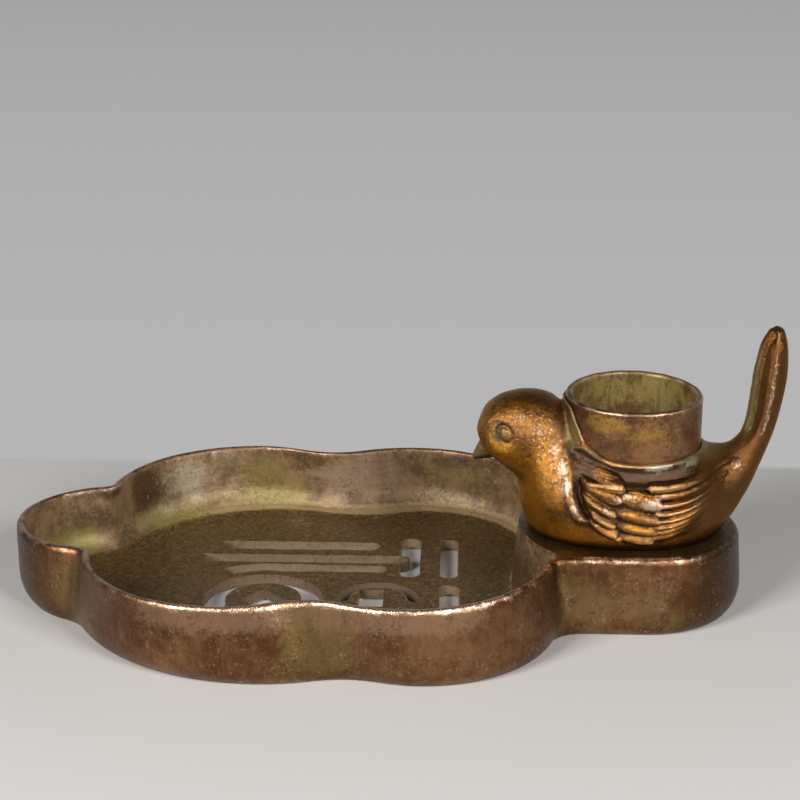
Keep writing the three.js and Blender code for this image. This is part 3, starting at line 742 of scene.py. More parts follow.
def smooth_rows(rows, parts):
    """A smooth curve through rows of numbers, with several parts between each pair."""
    padded = np.vstack([2 * rows[0] - rows[1], rows, 2 * rows[-1] - rows[-2]])
    made = []
    for i in range(len(rows) - 1):
        a, b, c, d = padded[i:i + 4]
        for t in np.arange(parts) / parts:
            made.append(0.5 * (2 * b + (c - a) * t + (2 * a - 5 * b + 4 * c - d) * t ** 2
                               + (3 * b - a - 3 * c + d) * t ** 3))
    return np.array(made + [rows[-1]])


def oval(row, steps):
    """One oval of the bird, from its top round to its top again."""
    top, bottom, half = row[0:2], row[2:4], row[4]
    turns = np.linspace(0, 2 * math.pi, steps, endpoint=False)
    power = 2 / np.where(np.cos(turns) > 0, row[5], row[6])
    rise = np.sign(np.cos(turns)) * np.abs(np.cos(turns)) ** power
    side = np.sign(np.sin(turns)) * np.abs(np.sin(turns)) ** power
    middle, reach = (top + bottom) / 2, (top - bottom) / 2
    return np.stack([middle[0] + reach[0] * rise, -half * side, middle[1] + reach[1] * rise], 1)


def loft(name, ovals, first, last):
    """Skins ovals into a closed body with a point at each end."""
    steps = len(ovals[0])
    points = np.vstack([[first], *ovals, [last]]) + (AXIS_X, 0, BIRD_FOOT)
    end = len(points) - 1
    base = end - steps
    faces = [(0, 1 + (k + 1) % steps, 1 + k) for k in range(steps)]
    faces += quads(len(ovals), steps, first=1)
    faces += [(end, base + k, base + (k + 1) % steps) for k in range(steps)]
    return closed_object(name, points, faces)


ovals = [oval(row, 120) for row in smooth_rows(BIRD_SECTIONS, 8)]
body = loft("bird body", ovals, FOREHEAD, TAIL_TIP)
print("bird rows:", len(BIRD_SECTIONS), "faces:", len(body.data.polygons))

# %% [markdown]
# The beak is a short cone set low on the face. It is made as a loft as well, so that its ridge can
# droop slightly to the tip, and it sinks into the head far enough for the remesh to weld it on.

# %% Beak
# centre x, centre z, half height, half width, from inside the head to the tip
BEAK_ROWS = np.array([
    (-41, 28.6, 4.6, 4.9),
    (-45.6, 26.8, 4.3, 4.4),
    (-47.8, 25.4, 3.5, 3.5),
    (-49.8, 23.9, 2.4, 2.4),
    (-51.4, 22.5, 1.3, 1.4),
])
BEAK_ROOT = (-40, 0, 29)
BEAK_TIP = (-52.4, 0, 21.4)
BEAK_LEAN = 0.45


def beak_ring(row, steps):
    """One leaning ring of the beak."""
    turns = np.linspace(0, 2 * math.pi, steps, endpoint=False)
    x, z, high, wide = row
    return np.stack([x - BEAK_LEAN * high * np.cos(turns), wide * np.sin(turns),
                     z + high * np.cos(turns)], 1)


rings = [beak_ring(row, 32) for row in smooth_rows(BEAK_ROWS, 4)]
beak = loft("beak", rings, BEAK_ROOT, BEAK_TIP)

# %% [markdown]
# The cup was joined to the back with plenty of metal. It stands in a web that climbs from the back
# almost to the cup's lip behind the head, and is low all round the rest.

# %% Collar round the cup's foot
COLLAR_FOOT = 22
COLLAR_TURNS = np.radians((0, 22, 33, 43, 58, 80, 180))
COLLAR_TOPS = (43.6, 43.2, 38.2, 32.8, 29.4, 28.4, 28.2)
# radius and height over the bird's foot, where the collar is highest
COLLAR_PROFILE = ((19, COLLAR_FOOT), (27.6, COLLAR_FOOT), (25.2, 28), (23.8, 35), (22.9, 43.6),
                  (19, 43.6))


def collar_wobble(out, up, turns):
    """Lets the collar's top follow its own height round the cup."""
    share = (up - BIRD_FOOT - COLLAR_FOOT) / (COLLAR_TOPS[0] - COLLAR_FOOT)
    tops = np.interp(np.abs(turns - math.pi), COLLAR_TURNS, COLLAR_TOPS)
    return out, BIRD_FOOT + COLLAR_FOOT + share * (tops - COLLAR_FOOT)


collar = lathe("collar", [(r, BIRD_FOOT + up) for r, up in COLLAR_PROFILE], AXIS_X,
               wobble=collar_wobble)

# %% Melt the bird together
BIRD_VOXEL = 0.34
bird = join("bird_casting", [body, beak, collar])
melt(bird, BIRD_VOXEL)
points, _ = points_of(bird)
pairs = neighbours(bird)
set_points(bird, blur(points, pairs, 5))
points, normals = points_of(bird)
print("bird points:", len(points))

# %% [markdown]
# The wing is low relief. Each feather is a long rounded bump: it rises from its root to its tip,
# ends round, and stands above the root of the next row, as tiles do on a roof. The height of all
# feathers together is the highest of them at each point, and the skin is moved out by that much.
# Places are given in the side view, from the middle of the bird's foot.

# %% Wing feathers
# root x, root z, tip x, tip z, half width, lift at the tip, bend, ridge
FEATHERS = [
    (-18, 27.4, -4.2, 21.4, 3.0, 1.2, 0.4, 0.0),
    (-20.2, 24.4, -4.6, 17.6, 2.6, 1.7, -0.6, 0.0),
    (-20.4, 21.2, -6.2, 13.0, 2.0, 1.8, -0.8, 0.4),
    (-18.8, 17.4, -6.4, 9.4, 1.8, 1.8, -1.0, 0.4),
    (-16.2, 13.0, -5.8, 6.5, 1.6, 1.6, -0.8, 0.2),
    (-14, 9.0, -4.6, 4.2, 1.4, 1.3, -0.6, 0.2),
    (-7.6, 19.4, 7.8, 16.2, 3.4, 2.0, 0.6, 0.0),
    (-8, 13.8, 7.4, 11.2, 2.2, 1.8, 0.2, 0.2),
    (-8, 9.6, 6.6, 7.6, 1.8, 1.5, -0.2, 0.2),
    (-7, 6.0, 5.6, 4.6, 1.4, 1.2, -0.3, 0.1),
    (31, 25.6, 3.2, 22.6, 1.5, 1.0, 1.6, 0.0),
    (31, 24.0, 4.6, 19.6, 1.5, 1.5, 1.8, 0.1),
    (30, 22.0, 5.2, 16.6, 1.3, 1.7, 1.9, 0.2),
    (28.6, 20.0, 5.4, 13.9, 1.2, 1.7, 1.9, 0.2),
    (27, 17.8, 5.2, 11.5, 1.1, 1.6, 1.8, 0.2),
    (25, 15.6, 4.8, 9.3, 1.1, 1.4, 1.7, 0.2),
    (22.6, 13.2, 4.2, 7.3, 1.0, 1.2, 1.5, 0.2),
    (20, 10.8, 3.4, 5.4, 1.0, 1.0, 1.3, 0.1),
]
side_x, side_z = points[:, 0] - AXIS_X, points[:, 2] - BIRD_FOOT


def feather_height(root_x, root_z, tip_x, tip_z, half, lift, curve, ridge):
    """How far one feather lifts the skin at every point of the bird."""
    dx, dz = tip_x - root_x, tip_z - root_z
    length = math.hypot(dx, dz)
    along = ((side_x - root_x) * dx + (side_z - root_z) * dz) / length ** 2
    aside = ((side_z - root_z) * dx - (side_x - root_x) * dz) / length
    aside = aside - curve * 4 * along * (1 - along)
    cap = 1 - 1.25 * half / length
    width = half * np.where(along < 0.45, 0.5 + 0.5 * step(along, 0, 0.45), 1)
    past_cap = np.sqrt(np.clip(1 - ((along - cap) / (1 - cap)) ** 2, 0, 1))
    width = np.where(along > cap, width * past_cap, width)
    across = np.clip(1 - (aside / np.maximum(width, 1e-3)) ** 2, 0, 1)
    rise = np.where((along > 0) & (along < 1), 0.15 + 0.85 * step(along, 0, 0.75), 0)
    keel = ridge * np.exp(-(aside / 0.45) ** 2) * step(along, 0, 0.3) * (1 - step(along, 0.8, 1))
    return (lift * across ** 0.75 + keel * 0.4) * rise * (across > 0)


def feather_heights():
    """The highest feather at every point of the bird."""
    return np.max([feather_height(*feather) for feather in FEATHERS], axis=0)


feathers = blur(feather_heights(), pairs, 2)
print("feathers:", len(FEATHERS), "highest", feathers.max().round(2), "mm")

# %% [markdown]
# Under the feathers the whole folded wing stands a little proud of the body. Its front edge is a
# smooth raised ridge from the shoulder down to the breast, with a deep groove behind it where the
# feathers start, and its lower edge drops to the belly.

# %% Wing edge
WING_EDGE = [(-24, 31.5), (-22, 27), (-21.6, 22), (-21.2, 17), (-19.6, 12.6), (-16.5, 9.2),
             (-11.3, 6.3), (-5, 3.9), (1.5, 2.3), (8.5, 2.9), (16.7, 5.6), (22.7, 8.8), (28.2, 13),
             (31.6, 18), (32.4, 24), (27, 27.5), (16, 29.5), (4, 29), (-8, 29.5), (-17, 33)]
SHOULDER = [(-27.5, 35.5), (-25.5, 31.3), (-23.6, 28.4), (-22.2, 25), (-21.8, 21.6), (-21.6, 18),
            (-20.7, 14.6), (-18.7, 11.2), (-16.2, 8.8)]


def distance_to(line, closed=False):
    """How far each point lies from a line in the side view, and how far along it."""
    line = np.array(line + line[:1] if closed else line)
    nearest = np.full(len(side_x), 1e9)
    reached = np.zeros(len(side_x))
    lengths = np.linalg.norm(np.diff(line, axis=0), axis=1)
    start = np.concatenate([[0], np.cumsum(lengths)])
    for i, (a, b) in enumerate(zip(line[:-1], line[1:])):
        ahead = (side_x - a[0]) * (b - a)[0] + (side_z - a[1]) * (b - a)[1]
        t = np.clip(ahead / lengths[i] ** 2, 0, 1)
        away = np.hypot(side_x - a[0] - t * (b - a)[0], side_z - a[1] - t * (b - a)[1])
        closer = away < nearest
        nearest = np.where(closer, away, nearest)
        reached = np.where(closer, (start[i] + t * lengths[i]) / start[-1], reached)
    return nearest, reached


def inside(line):
    """1 for points inside a closed line in the side view."""
    line = np.array(line)
    odd = np.zeros(len(side_x), bool)
    for a, b in zip(line, np.roll(line, -1, axis=0)):
        crosses = (a[1] > side_z) != (b[1] > side_z)
        at = a[0] + (side_z - a[1]) * (b[0] - a[0]) / (b[1] - a[1] + 1e-9)
        odd ^= crosses & (side_x < at)
    return odd


edge_far, _ = distance_to(WING_EDGE, closed=True)
deep = np.where(inside(WING_EDGE), edge_far, -edge_far)
wing = (0.7 * step(deep, -0.6, 1.6) - 0.55 * step(deep, 1.5, 3)) * (1 - step(side_x, 14, 28))
ridge_far, ridge_along = distance_to(SHOULDER)
fade = step(ridge_along, 0.15, 0.4) * (1 - step(ridge_along, 0.92, 1))
shoulder_x, shoulder_z = np.array(SHOULDER[::-1]).T
behind = side_x > np.interp(side_z, shoulder_z, shoulder_x)
ridge_lift = np.exp(-(ridge_far / 1.6) ** 2) * fade
groove = (-2.6 * np.exp(-((ridge_far - 3.0) / 1.5) ** 2) * fade * behind
          * step(ridge_along, 0.35, 0.6))
barbs = 0.05 * np.sin(side_x * 1.1 + side_z * 6.2) * step(feathers, 0.4, 0.9)
flank = step(np.abs(normals[:, 1]), 0.12, 0.45)
relief = (wing + 1.35 * feathers * step(deep, -0.8, 1.2) + ridge_lift + groove + barbs) * flank

# %% [markdown]
# The eye is a small almond ball in a shallow socket, with a thin lid round it. The mouth is a
# short groove beside the beak.

# %% Eye and face
EYE = (-42.0, 34.2)
SOCKET = (-43.2, 33.4)


def from_eye():
    """How far each point lies from the eye's middle, with the edge of the ball at 1."""
    return np.hypot((side_x - EYE[0]) / 1.9, (side_z - EYE[1] + 0.25 * (side_x - EYE[0])) / 2.5)


def from_socket():
    """The same for the hollow round the eye."""
    return np.hypot((side_x - SOCKET[0]) / 4.3, (side_z - SOCKET[1]) / 4.6)


lid_far = np.hypot((side_x - EYE[0]) / 2.6, (side_z - EYE[1]) / 3.3)
sideways = np.abs(normals[:, 1])
face = -1.2 * np.exp(-from_socket() ** 4) * step(sideways, 0.2, 0.5)
face += 1.35 * np.sqrt(np.clip(1 - from_eye() ** 2, 0, 1)) * step(sideways, 0.2, 0.4)
face += 0.12 * np.exp(-((lid_far - 1.25) / 0.25) ** 2) * step(sideways, 0.2, 0.4)
mouth_far = np.abs(side_z - np.interp(side_x, (-51, -44), (22.0, 24.4)))
mouth = -0.45 * np.exp(-(mouth_far / 0.4) ** 2) * (side_x < -44.2) * (side_x > -50.8)

# %% [markdown]
# The tail has a front edge and two side edges. It is hollowed between them, so the side edges
# catch the light, and fine lines run along it. A small bead of metal sits at its root. Over the
# whole bird go the lumps and pits of the casting, and round the cup a raised line of braze.

# %% Tail, grain and the whole relief
BEAD = (33.2, 23.7)
BRAZE_R = 22.9
on_tail = step(side_z, 29, 36) * (side_x > 30)
from_middle = np.abs(points[:, 1])
tail_front = step(-normals[:, 0], 0.0, 0.4) * on_tail * np.exp(-((from_middle - 3.9) / 2.1) ** 2)
tail = -1.2 * tail_front + 0.06 * np.sin(points[:, 1] * 3.4) * on_tail
lumps = (noise(points, 9, 11) * 0.16 + noise(points, 3.4, 12) * 0.06
         + noise(points, 1.7, 13) * 0.03 - np.clip(noise(points, 1.2, 14) - 0.35, 0, 1) * 0.15)
from_bead = np.hypot(side_x - BEAD[0], side_z - BEAD[1])
bead = 0.45 * np.exp(-(from_bead / 1.3) ** 2) * (points[:, 1] < 0)
from_cup = np.hypot(side_x, points[:, 1]) - BRAZE_R
braze = 0.5 * np.exp(-(from_cup / 1.3) ** 2) * step(normals[:, 2], 0.0, 0.5)
points += normals * blur(relief + face + mouth + tail + braze + bead - 0.15, pairs, 1)[:, None]
points += normals * lumps[:, None]
set_points(bird, points)

# %% [markdown]
# The foot is flat where it stands on the deck. A pocket takes the cup, a chamber below it leads
# the smoke to the mouth, and two holes take the screws. These are cut last, so their edges stay
# crisp.

# %% Cut the bird's hollows
CUP = {"top": 45.6, "r": 22.2, "bottom": 24.7, "wall": 2.2, "ledge": 2.4, "ledge width": 3}
GAP = 0.3
CHAMBER = {"r": 16, "bottom": 7.7}
DUCT = {"r": 1.5, "mouth": -46.8, "height": 21.6, "sides": 20}
cup_top, cup_bottom = BIRD_FOOT + CUP["top"], BIRD_FOOT + CUP["bottom"]

cut(bird, prism("below the foot", [(30, -50), (150, -50), (150, 50), (30, 50)], -20, BIRD_FOOT))
cut(bird, plug("cup pocket", CUP["r"] + GAP, cup_bottom - GAP, cup_top, AXIS_X))
cut(bird, plug("chamber", CHAMBER["r"], BIRD_FOOT + CHAMBER["bottom"], cup_top, AXIS_X))
for screw_x in SCREW_PLACES:
    cut(bird, plug("screw hole", SCREW_HOLE_R, 20, 31.5, screw_x, 24))
n = DUCT["sides"]
turns = np.linspace(0, 2 * math.pi, n, endpoint=False)
ring = np.stack([np.zeros(n), DUCT["r"] * np.cos(turns), DUCT["r"] * np.sin(turns)], 1)
duct_ends = [ring + (AXIS_X + x, 0, BIRD_FOOT + DUCT["height"]) for x in (DUCT["mouth"], 0)]
cut(bird, closed_object("smoke duct", np.vstack(duct_ends), [
    *quads(2, n), tuple(range(n)), tuple(range(n, 2 * n))]))
finish_skin(bird)
measure_wear(bird, 6, 30)

# %% [markdown]
# The cup is a straight open tube with a slightly uneven lip. A narrow ledge near its bottom holds
# the loose seat. It is turned on a lathe, and a little wobble keeps it from looking machined.

# %% Cup
def cup_wobble(out, up, turns):
    """Makes the tube a little less than round, and its lip a little less than level."""
    on_lip = up > cup_top - 2.5
    return (out - 0.08 * (1 + np.sin(3 * turns + 0.6)),
            up - on_lip * 0.16 * (1 + np.sin(2 * turns + 1.1)) - on_lip * 0.05 * np.sin(17 * turns))


inner = CUP["r"] - CUP["wall"]
lip = CUP["wall"] / 2
cup_profile = (
    [(inner - CUP["ledge width"], cup_bottom), (CUP["r"], cup_bottom)]
    + [(CUP["r"], z) for z in np.linspace(cup_bottom + 0.5, cup_top - 1.2, 12)]
    + ellipse(CUP["r"] - lip, cup_top - lip, lip, lip, 0, 90, 5)
    + ellipse(inner + lip, cup_top - lip, lip, lip, 90, 180, 5)
    + [(inner, z) for z in np.linspace(cup_top - 1.4, cup_bottom + CUP["ledge"], 12)]
    + [(inner - CUP["ledge width"], cup_bottom + CUP["ledge"])]
)
cup = lathe("cup_tube", cup_profile, AXIS_X, sides=160, wobble=cup_wobble)
finish_skin(cup)
measure_wear(cup, 3, 6)

# %% [markdown]
# The seat, the washers and the screws are plain turned brass. Their CAD solids have the right
# shape but flat edges, so finer ones with softened edges take their place.

# %% Seat
def rounded(profile, soft):
    """A closed profile with its corners cut back by a small amount."""
    corners = np.array(profile, float)
    made = []
    for before, corner, after in zip(np.roll(corners, 1, 0), corners, np.roll(corners, -1, 0)):
        for other in (before, after):
            away = other - corner
            length = np.linalg.norm(away)
            made.append(tuple(corner + away / length * min(soft, length / 3)))
    return made


SEAT = {"hole": 2.2, "thick": 1.8, "ring in": 8, "ring out": 9.2, "ring height": 1.4}
hole, ring_in, ring_out = SEAT["hole"], SEAT["ring in"], SEAT["ring out"]
seat_z = cup_bottom + CUP["ledge"] + GAP
seat_top = seat_z + SEAT["thick"]
ring_top = seat_top + SEAT["ring height"]
seat = lathe("pierced_seat", rounded([
    (hole, seat_z), (inner - GAP, seat_z), (inner - GAP, seat_top), (ring_out, seat_top),
    (ring_out, ring_top), (ring_in, ring_top), (ring_in, seat_top), (hole, seat_top)], 0.3), AXIS_X)
finish_skin(seat)
measure_wear(seat, 1, 3)

# %% Washers and screws
WASHER = {"r": 5.5, "thick": 1}
HEAD_TOP = DISH_HEIGHT - DECK_THICKNESS - 2 * GAP - WASHER["thick"]
# radius and height over the face of the head that bears on the washer
SCREW = ((NEAR_AXIS, -2.4), (3.4, -2.4), (3.8, -2.2), (4, -1.8), (4, 0), (2, 0), (2, 8.3),
         (1.6, 8.7), (NEAR_AXIS, 8.7))
washers, screws = [], []
for name, screw_x in zip(("breast", "tail"), SCREW_PLACES):
    low, high = HEAD_TOP + GAP, HEAD_TOP + GAP + WASHER["thick"]
    washers.append(lathe(name + "_washer_ring", rounded([
        (SCREW_HOLE_R, low), (WASHER["r"], low), (WASHER["r"], high), (SCREW_HOLE_R, high)], 0.15),
        screw_x, sides=48))
    screw = lathe(name + "_screw_turned", [(r, HEAD_TOP + up) for r, up in SCREW], screw_x,
                  sides=48)
    slot_box = [(screw_x - 5, -0.5), (screw_x + 5, -0.5), (screw_x + 5, 0.5), (screw_x - 5, 0.5)]
    cut(screw, prism("driver slot", slot_box, HEAD_TOP - 4, HEAD_TOP - 1.2))
    screws.append(screw)
for small in washers + screws:
    measure_wear(small, 1, 2)

# %% [markdown]
# Old bronze is not one colour. Where hands rub it, it stays bright and warm; where they don't, it
# turns brown, then olive with dirt in the hollows. Each of those effects is a node group that
# gives a mask, and each finish mixes its own colours with them.

# %% Mask groups
def mask_group(name, **values):
    """A new node group from a place and some values to a mask: its wiring, inputs and output."""
    group = bpy.data.node_groups.new(name, "ShaderNodeTree")
    group.interface.new_socket("Vector", in_out="INPUT", socket_type="NodeSocketVector")
    for socket, value in values.items():
        kind = "NodeSocketVector" if isinstance(value, tuple) else "NodeSocketFloat"
        group.interface.new_socket(socket, in_out="INPUT", socket_type=kind).default_value = value
    group.interface.new_socket("Mask", in_out="OUTPUT", socket_type="NodeSocketFloat")
    given, made = group.nodes.new("NodeGroupInput"), group.nodes.new("NodeGroupOutput")
    return Wiring(group), given.outputs, made.inputs["Mask"]


# %% [markdown]
# Mottle is the cloudy change of colour all over a patina: two sizes of noise, one breaking up the
# other, pushed to a soft edge.

# %% Mottle
w, given, mask = mask_group("mottle", Scale=60.0, Low=0.42, High=0.6)
big = w.noise(given["Vector"], given["Scale"], 8.0, 0.65)
fine = w.noise(given["Vector"], w.times(given["Scale"], 7.0), 4.0)
cloudy = w.plus(w.times(big, 0.75), w.times(fine, 0.25))
w.put(w.rise(cloudy, given["Low"], given["High"]), mask)
mottle = w.tree

# %% [markdown]
# Rubbed metal shows on proud places, and grime lies in hollow ones. The values stored with the
# points say where those are, and noise breaks the edge of the mask.

# %% Rubbed places and grime
def wear_group(name, measure, breakup):
    """A mask where a measure stored with the points is high."""
    w, given, mask = mask_group(name, Start=0.05, Full=0.3, Scale=200.0)
    broken = w.minus(w.noise(given["Vector"], given["Scale"]), 0.5)
    worn = w.plus(w.stored(measure), w.times(broken, w.times(given["Full"], breakup)))
    w.put(w.rise(worn, given["Start"], given["Full"]), mask)
    return w.tree


rubbed = wear_group("rubbed", "ridge", 1.2)
grime = wear_group("grime", "hollow", 1.0)

# %% [markdown]
# A stain starts as a soft mask stored with the points. Noise pushes its edge in and out, so that it
# looks like something that crept over the metal.

# %% Ragged edge
w, given, mask = mask_group("ragged", Soft=0.0, Break=0.8, Scale=250.0)
broken = w.minus(w.noise(given["Vector"], given["Scale"], 8.0, 0.7), 0.5)
w.put(w.rise(w.plus(given["Soft"], w.times(broken, given["Break"])), 0.25, 0.75), mask)
ragged = w.tree

# %% [markdown]
# Scratches are noise pulled out long in one direction. On the dish they run up and down the wall,
# where it was filed and wiped.

# %% Scratches
w, given, mask = mask_group("scratches", Squeeze=(1, 1, 0.08), Scale=900.0, Low=0.55, High=0.75)
squeezed = w.add("VectorMath", operation="MULTIPLY")
w.put(given["Vector"], squeezed.inputs[0])
w.put(given["Squeeze"], squeezed.inputs[1])
lines = w.noise(squeezed.outputs[0], given["Scale"], 3.0, 0.5)
w.put(w.rise(lines, given["Low"], given["High"]), mask)
scratches = w.tree

# %% [markdown]
# Fine dark pits and bright dots are all over an old casting. Each is a noise cut off near its top.

# %% Speckle
w, given, mask = mask_group("speckle", Scale=900.0, Low=0.54, High=0.64)
patches = w.rise(w.noise(given["Vector"], 90.0, 3.0), 0.35, 0.65)
dots = w.rise(w.noise(given["Vector"], given["Scale"], 2.0, 0.5), given["Low"], given["High"])
w.put(w.times(dots, patches), mask)
speckle = w.tree

# %% [markdown]
# A finish is a material that lays such masks over each other, each with its own paint. Its methods
# are the strokes that more than one finish uses.

# %% Finish
class Finish(Wiring):
    """A metal with its own shader, painted in the object's coordinates."""

    def __init__(self, name):
        self.material = bpy.data.materials.new(name)
        self.material.use_nodes = True
        super().__init__(self.material.node_tree)
        self.shader = self.tree.nodes["Principled BSDF"]
        self.spot = self.add("TexCoord").outputs["Object"]

    def mask(self, group, **values):
        """Places a group with its own values, and gives its mask."""
        node = self.add("Group", node_tree=group)
        return self.feed(node, Vector=self.spot, **values).outputs["Mask"]

    def mottled(self, scale, low, high, dark, light):
        return self.mix(self.mask(mottle, Scale=scale, Low=low, High=high), dark, light)

    def frayed(self, soft, breakup, scale):
        return self.mask(ragged, Soft=soft, Break=breakup, Scale=scale)

    def stained(self, colour, *stains):
        """Lays paints where stored masks are; a breakup and a scale after the weight fray one."""
        for name, paint, weight, *edge in stains:
            soft = self.stored(name)
            colour = self.blend(colour, self.frayed(soft, *edge) if edge else soft, paint, weight)
        return colour

    def worn(self, colour, group, start, full, scale, paint, weight=1.0):
        """Lays a paint where the metal is rubbed, or where grime lies."""
        places = self.mask(group, Start=start, Full=full, Scale=scale)
        return self.blend(colour, places, paint, weight)

    def scratched(self, colour, length, scale, low, high, paint, weight):
        lines = self.mask(scratches, Squeeze=(1, 1, length), Scale=scale, Low=low, High=high)
        return self.blend(colour, lines, paint, weight)

    def speckled(self, colour, dark, light, weight):
        """Lays dark pits and then bright dots over a colour."""
        pits = self.mask(speckle, Scale=800.0, Low=0.52, High=0.64)
        dots = self.mask(speckle, Scale=1150.0, Low=0.6, High=0.7)
        return self.blend(self.blend(colour, pits, dark, weight), dots, light, weight)

    def rough(self, grit, smooth, more):
        """A roughness that grows with the grit."""
        return self.plus(smooth, self.times(grit, more))

    def bumpy(self, height, strength, distance):
        """Turns a height into the shader's normal."""
        bump = self.feed(self.add("Bump"), Height=height, Strength=strength, Distance=distance)
        self.feed(self.shader, Normal=bump.outputs["Normal"])
        return bump.outputs["Normal"]


# %% [markdown]
# The materials need to know which part of the dish they are on. So a few soft masks are stored
# with its points. The first ones need each point's place along the outline: how far out from it
# the point lies, and how much the wall there faces along the dish instead of across it.

# %% Masks on the dish
def soft_spots(places, *spots):
    """The strongest of several soft balls; each is a centre, a reach and a weight."""
    total = np.zeros(len(places))
    for centre, reach, weight in spots:
        far = (((places - np.array(centre)) / np.array(reach)) ** 2).sum(axis=1)
        total = np.maximum(total, weight * np.exp(-far))
    return total


LAYER = 1.5
BATCH = 8000
points, normals = points_of(dish)
x, y, z = points.T
out_by, end_on = np.empty(len(points)), np.empty(len(points))
layer = np.clip(z / LAYER, 0, DISH_HEIGHT / LAYER - 1).astype(int)
for some in np.array_split(np.argsort(layer, kind="stable"), len(points) // BATCH + 1):
    line, across = outline_rows((layer[some].mean() + 0.5) * LAYER)
    gap = ((points[some, None, :2] - line[None, ::2, :]) ** 2).sum(axis=2)
    nearest = gap.argmin(axis=1) * 2
    out_by[some] = ((points[some, :2] - line[nearest]) * across[nearest]).sum(axis=1)
    end_on[some] = np.abs(across[nearest, 0])
in_bowl = step(-out_by, 0.2, 1.4)
outside = 1 - in_bowl
on_deck = (np.hypot(x - AXIS_X, y) < DRUM_R) & (z > DISH_HEIGHT - 1)
in_slot = (z < FLOOR_TOP + 0.3) * (normals[:, 2] < 0.9) * (in_bowl > 0.5) * (x < AXIS_X - DRUM_R)
by_coins = (y < 8) * (x < 17)
far_end = np.maximum(step(-x, 85, 118), step(x, 85, 116))
under_bird = np.hypot((x - AXIS_X) / 24, y / 19)
# Along the lip, rubbed metal and a painted highlight together, strongest where the lamps'
# highlights fall.
rub_and_highlight_in_front = np.interp(x, (-90, -66, -56, 40, 52, 64, 70, 94, 104),
                           (0.1, 0.3, 1, 1, 0.4, 0.3, 0.8, 0.8, 0))
rub_and_highlight_behind = np.interp(x, (-80, -60, -25, -10, 0, 30, 45), (0.35, 0.9, 0.8, 0.5, 0.8, 0.7, 0.4))
dish_masks = {
    "inside": in_bowl * (1 - step(z, DISH_HEIGHT - 1.2, DISH_HEIGHT)),
    "floor": in_bowl * (1 - step(z, FLOOR_TOP + 0.2, FLOOR_TOP + 1.1)),
    "deck": on_deck,
    # A painted shadow on the deck under the bird's belly.
    "shadow_under_bird": on_deck * (1 - step(under_bird, 0.9, 1.25)),
    # The lip's mask: rubbed metal and a painted highlight.
    "lip": np.where(y < 0, rub_and_highlight_in_front, rub_and_highlight_behind)
    * step(z, DISH_HEIGHT - 3, DISH_HEIGHT - 1) * (1 - step(np.abs(out_by - 0.5), 0.4, 1.7)),
    # A painted light band low on the back of the cove.
    "cove_highlight": in_bowl * step(z, FLOOR_TOP + 0.2, FLOOR_TOP + 0.9)
    * (1 - step(z, FLOOR_TOP + 1.2, FLOOR_TOP + 4.5)) * (y > 0) * step(x, -80, -50),
    # A painted highlight on the upper outer wall, below the lip.
    "upper_wall_highlight": outside * step(z, 13, 24) * (1 - step(end_on, 0.35, 0.8))
    * (1 - step(x, 30, 50)) * step(x, -82, -64),
    # Painted shade on the outer walls that face along the dish, darkest at the far ends.
    "shade": outside * step(end_on, 0.05, 0.7) * (0.25 + 0.75 * far_end),
    "slot": in_slot * (1 - by_coins),
    "coin wall": in_slot * by_coins,
}

# %% [markdown]
# The stains are where the photograph has them: olive in the notches outside and low inside the
# wall, brown and pale patches on the back wall, and a grey-green bloom here and there.

# %% Stains on the dish
dish_masks["notch"] = outside * soft_spots(
    points, ((-95, -29, 12), (11, 12, 13), 1.0), ((-15, -64, 12), (14, 14, 14), 1.0),
    ((-52, -66, 18), (9, 14, 6), 0.4), ((44, -44, 14), (10, 16, 12), 0.8),
    ((66, -34, 12), (16, 9, 12), 0.9), ((8, -70, 6), (14, 12, 5), 0.5),
    ((92, -32, 9), (16, 9, 9), 0.7), ((-86, 38, 12), (11, 20, 12), 1.0),
    ((-28, 64, 10), (17, 14, 13), 1.0), ((48, 44, 14), (14, 16, 12), 0.9))
dish_masks["green"] = in_bowl * soft_spots(
    points, ((-40, 58, 14), (19, 14, 13), 1.0), ((-104, 12, 9), (14, 20, 7), 0.9),
    ((-70, 44, 7), (26, 14, 6), 0.9), ((20, 56, 16), (18, 16, 12), 0.8),
    ((40, 30, 14), (12, 24, 12), 0.7), ((-60, 10, 4), (30, 20, 3), 0.4))
dish_masks["brown"] = in_bowl * soft_spots(
    points, ((-82, 42, 20), (7, 12, 12), 1.0), ((-76, 34, 9), (8, 10, 7), 0.8),
    ((50, -12, 10), (9, 24, 12), 1.0), ((48, 10, 20), (8, 26, 12), 0.7),
    ((-95, 26, 25), (14, 8, 4), 0.8), ((26, 66, 22), (16, 10, 6), 0.5))
dish_masks["pale"] = in_bowl * soft_spots(
    points, ((-10, 62, 17), (20, 16, 10), 1.0), ((4, 60, 12), (26, 16, 6), 0.6),
    ((-50, 60, 12), (14, 14, 8), 0.5))
dish_masks["bloom"] = in_bowl * soft_spots(
    points, ((-66, 52, 18), (12, 12, 10), 1.0), ((-56, 58, 24), (10, 10, 5), 0.8),
    ((-74, 44, 10), (10, 10, 6), 0.7), ((-30, 52, 6), (10, 8, 3), 0.6),
    ((48, 6, 22), (6, 8, 6), 0.8))
for name, values in dish_masks.items():
    store(dish, name, values)
